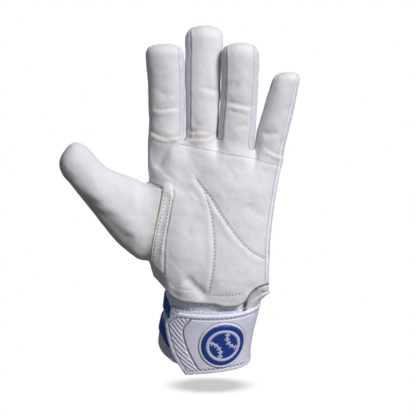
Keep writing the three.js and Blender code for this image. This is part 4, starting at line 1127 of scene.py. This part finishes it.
def ball_motif():
    """A ball with a curved, stitched seam."""
    radius, lean = 11.8, math.radians(28)
    way = np.linspace(0, 2 * np.pi, 120)
    lines = [(radius * np.cos(way), radius * np.sin(way), 2.6)]
    for side in (-1, 1):
        turn = np.radians(np.linspace(-56, 56, 40))
        lines.append((side * (13.5 - 9.5 * np.cos(turn)), 9.5 * np.sin(turn), 1.9))
        for at in np.radians([-42, -21, 0, 21, 42]):
            reach = np.linspace(7.6, 11.4, 6)
            lines.append((side * (13.5 - reach * math.cos(at)), reach * math.sin(at), 1.1))
    pts, faces, count = [], [], 0
    for p, q, width in lines:
        c, s = math.cos(lean), math.sin(lean)
        more, own = ribbon(p * c - q * s, p * s + q * c, width)
        pts.append(more)
        faces += [[v + count for v in f] for f in own]
        count += len(more)
    piece("badge_motif", np.concatenate(pts), faces, BADGE_WHITE)


ball_motif()


def leaf(name, upper, lower, look, stands_for=None, thick=1.0, bulge=0.6, shaded=0.0):
    """A curled leaf of leather or cloth between two edges, each a row of places in x, y and z."""
    rows, cols = 24, 40
    edges = []
    for line in (np.array(lower, float), np.array(upper, float)):
        keys = np.linspace(0, 1, len(line))
        table = np.column_stack([keys, line])
        edges.append(np.stack([read(table, k, np.linspace(0, 1, cols)) for k in (1, 2, 3)], -1))
    up = np.linspace(0, 1, rows)[:, None, None]
    sheet = edges[0][None] + (edges[1] - edges[0])[None] * up
    sheet[..., 1] -= bulge * np.sin(np.pi * up[..., 0])
    ids = np.arange(rows * cols).reshape(rows, cols)
    grid = np.stack([ids[:-1, :-1], ids[:-1, 1:], ids[1:, 1:], ids[1:, :-1]], -1).reshape(-1, 4)
    front_side = sheet.reshape(-1, 3)
    back_side = front_side - thick * normals_of(front_side, grid)
    count, edge = rows * cols, open_edges(grid)
    wall = np.stack([edge[:, 1], edge[:, 0], edge[:, 0] + count, edge[:, 1] + count], -1)
    faces = np.concatenate([grid, grid[:, ::-1] + count, wall])
    # shaded darkens the leaf towards its upper edge: painted shade, which on the inner leaf also gives its
    # brown lining.
    tone = np.tile((shaded * np.broadcast_to(up[..., 0] ** 3, (rows, cols))).ravel(), 2)
    marks = {"shade": np.clip(tone, 0, 1), "cream": tone * 0.3, "holes": 0 * tone}
    return piece(name, np.concatenate([front_side, back_side]), faces, look, stands_for, marks)


# The slit's facing: the outer leaf stands on the cuff, the inner one and the white fold lie behind it.
leaf("side_tab_folded",
     [(30.6, -26.6, 37.5), (31.2, -27.6, 40.4), (35.9, -28.0, 46.8), (39.5, -27.2, 49.6), (44.0, -25.8, 51.9),
      (47.5, -24.2, 52.8)],
     [(38.4, -20.5, 37.5), (38.9, -21.6, 41.0), (40.4, -22.4, 45.0), (42.6, -22.8, 47.6),
      (45.0, -23.2, 49.8), (47.7, -23.6, 52.2)],
     LEATHER, "side_tab", thick=1.2, bulge=1.0)
leaf("slit_inner_leaf", [(31.4, -32.4, 46.0), (32.2, -32.6, 51.0), (34.4, -32.2, 54.6), (38.0, -30.8, 57.0)],
     [(30.0, -25.0, 38.0), (34.4, -26.0, 44.6), (38.2, -25.6, 48.8), (42.0, -25.2, 51.0)],
     LEATHER, bulge=0.4, shaded=0.9)
leaf("slit_white_fold", [(35.0, -31.2, 56.4), (38.8, -30.0, 58.6), (43.6, -26.6, 59.2), (47.4, -20.0, 58.4)],
     [(37.0, -24.6, 48.6), (41.0, -24.4, 51.0), (44.4, -24.0, 52.2), (47.0, -21.6, 53.0)],
     CLOTH, bulge=1.6)

# The light, the floor and the camera.

scene = bpy.context.scene
scene.view_settings.view_transform = "Standard"
world = bpy.data.worlds.new("studio")
scene.world = world
world.use_nodes = True
tree = world.node_tree
seen = node(tree, "ShaderNodeLightPath").outputs["Is Camera Ray"]
glow = node(tree, "ShaderNodeMix", {"Factor": seen, 6: (0.136, 0.139, 0.148, 1), 7: (1, 1, 1, 1)},
            data_type="RGBA")
tree.links.new(glow.outputs[2], tree.nodes["Background"].inputs["Color"])


def lamp(name, place, target, size, power, colour=(1, 1, 1)):
    light = bpy.data.lights.new(name, "AREA")
    light.size, light.energy, light.color = size, power, colour
    obj = bpy.data.objects.new(name, light)
    bpy.context.collection.objects.link(obj)
    obj.location = place
    obj.rotation_euler = (Vector(target) - Vector(place)).to_track_quat("-Z", "Y").to_euler()
    return obj


lamp("key", (0.66, -0.95, 0.96), (0, 0, 0.12), 0.45, 19)
lamp("back", (-0.2, 1.3, 0.7), (0, 0, 0.12), 0.9, 13)
lamp("fill", (0.7, -1.0, 0.3), (0, 0, 0.12), 0.9, 1.6)

floor_mesh = bpy.data.meshes.new("floor")
size = 3.0
floor_mesh.from_pydata([(-size, -size, -0.011), (size, -size, -0.011), (size, size, -0.011),
                        (-size, size, -0.011)], [], [(0, 1, 2, 3)])
floor = bpy.data.objects.new("floor", floor_mesh)
bpy.context.collection.objects.link(floor)
floor.visible_diffuse = floor.visible_glossy = False
ground = bpy.data.materials.new("floor white with painted shadow")
ground.use_nodes = True
tree = ground.node_tree
tree.nodes.remove(tree.nodes["Principled BSDF"])
# The floor glows white, with a soft dark spot under the glove drawn into its glow: a painted shadow, not a
# cast one.
spot = node(tree, "ShaderNodeMapping", {"Vector": node(tree, "ShaderNodeTexCoord").outputs["Object"],
                                        "Location": (-0.127, 2.09, 0), "Scale": (31, 46.5, 1)}).outputs[0]
far = node(tree, "ShaderNodeVectorMath", {0: spot}, operation="LENGTH").outputs["Value"]
shadowed_floor_tone = node(tree, "ShaderNodeMapRange",
            {"Value": far, "From Min": 0.5, "From Max": 1.15, "To Min": 0.58, "To Max": 1.0},
            interpolation_type="SMOOTHSTEP").outputs[0]
grey = node(tree, "ShaderNodeCombineColor", {0: shadowed_floor_tone, 1: shadowed_floor_tone, 2: shadowed_floor_tone}).outputs[0]
emit = node(tree, "ShaderNodeEmission", {"Color": grey})
tree.links.new(emit.outputs[0], tree.nodes["Material Output"].inputs["Surface"])
floor_mesh.materials.append(ground)

camera = bpy.data.objects.new("camera", bpy.data.cameras.new("camera"))
bpy.context.collection.objects.link(camera)
camera.data.lens, camera.data.sensor_width = 120.2, 36
target = Vector((0.003, -0.018, 0.113))
tilt = math.radians(9)
camera.location = target + Vector((0, -math.cos(tilt), math.sin(tilt)))
camera.rotation_euler = (target - camera.location).to_track_quat("-Z", "Y").to_euler()
camera.data.clip_end = 20
scene.camera = camera
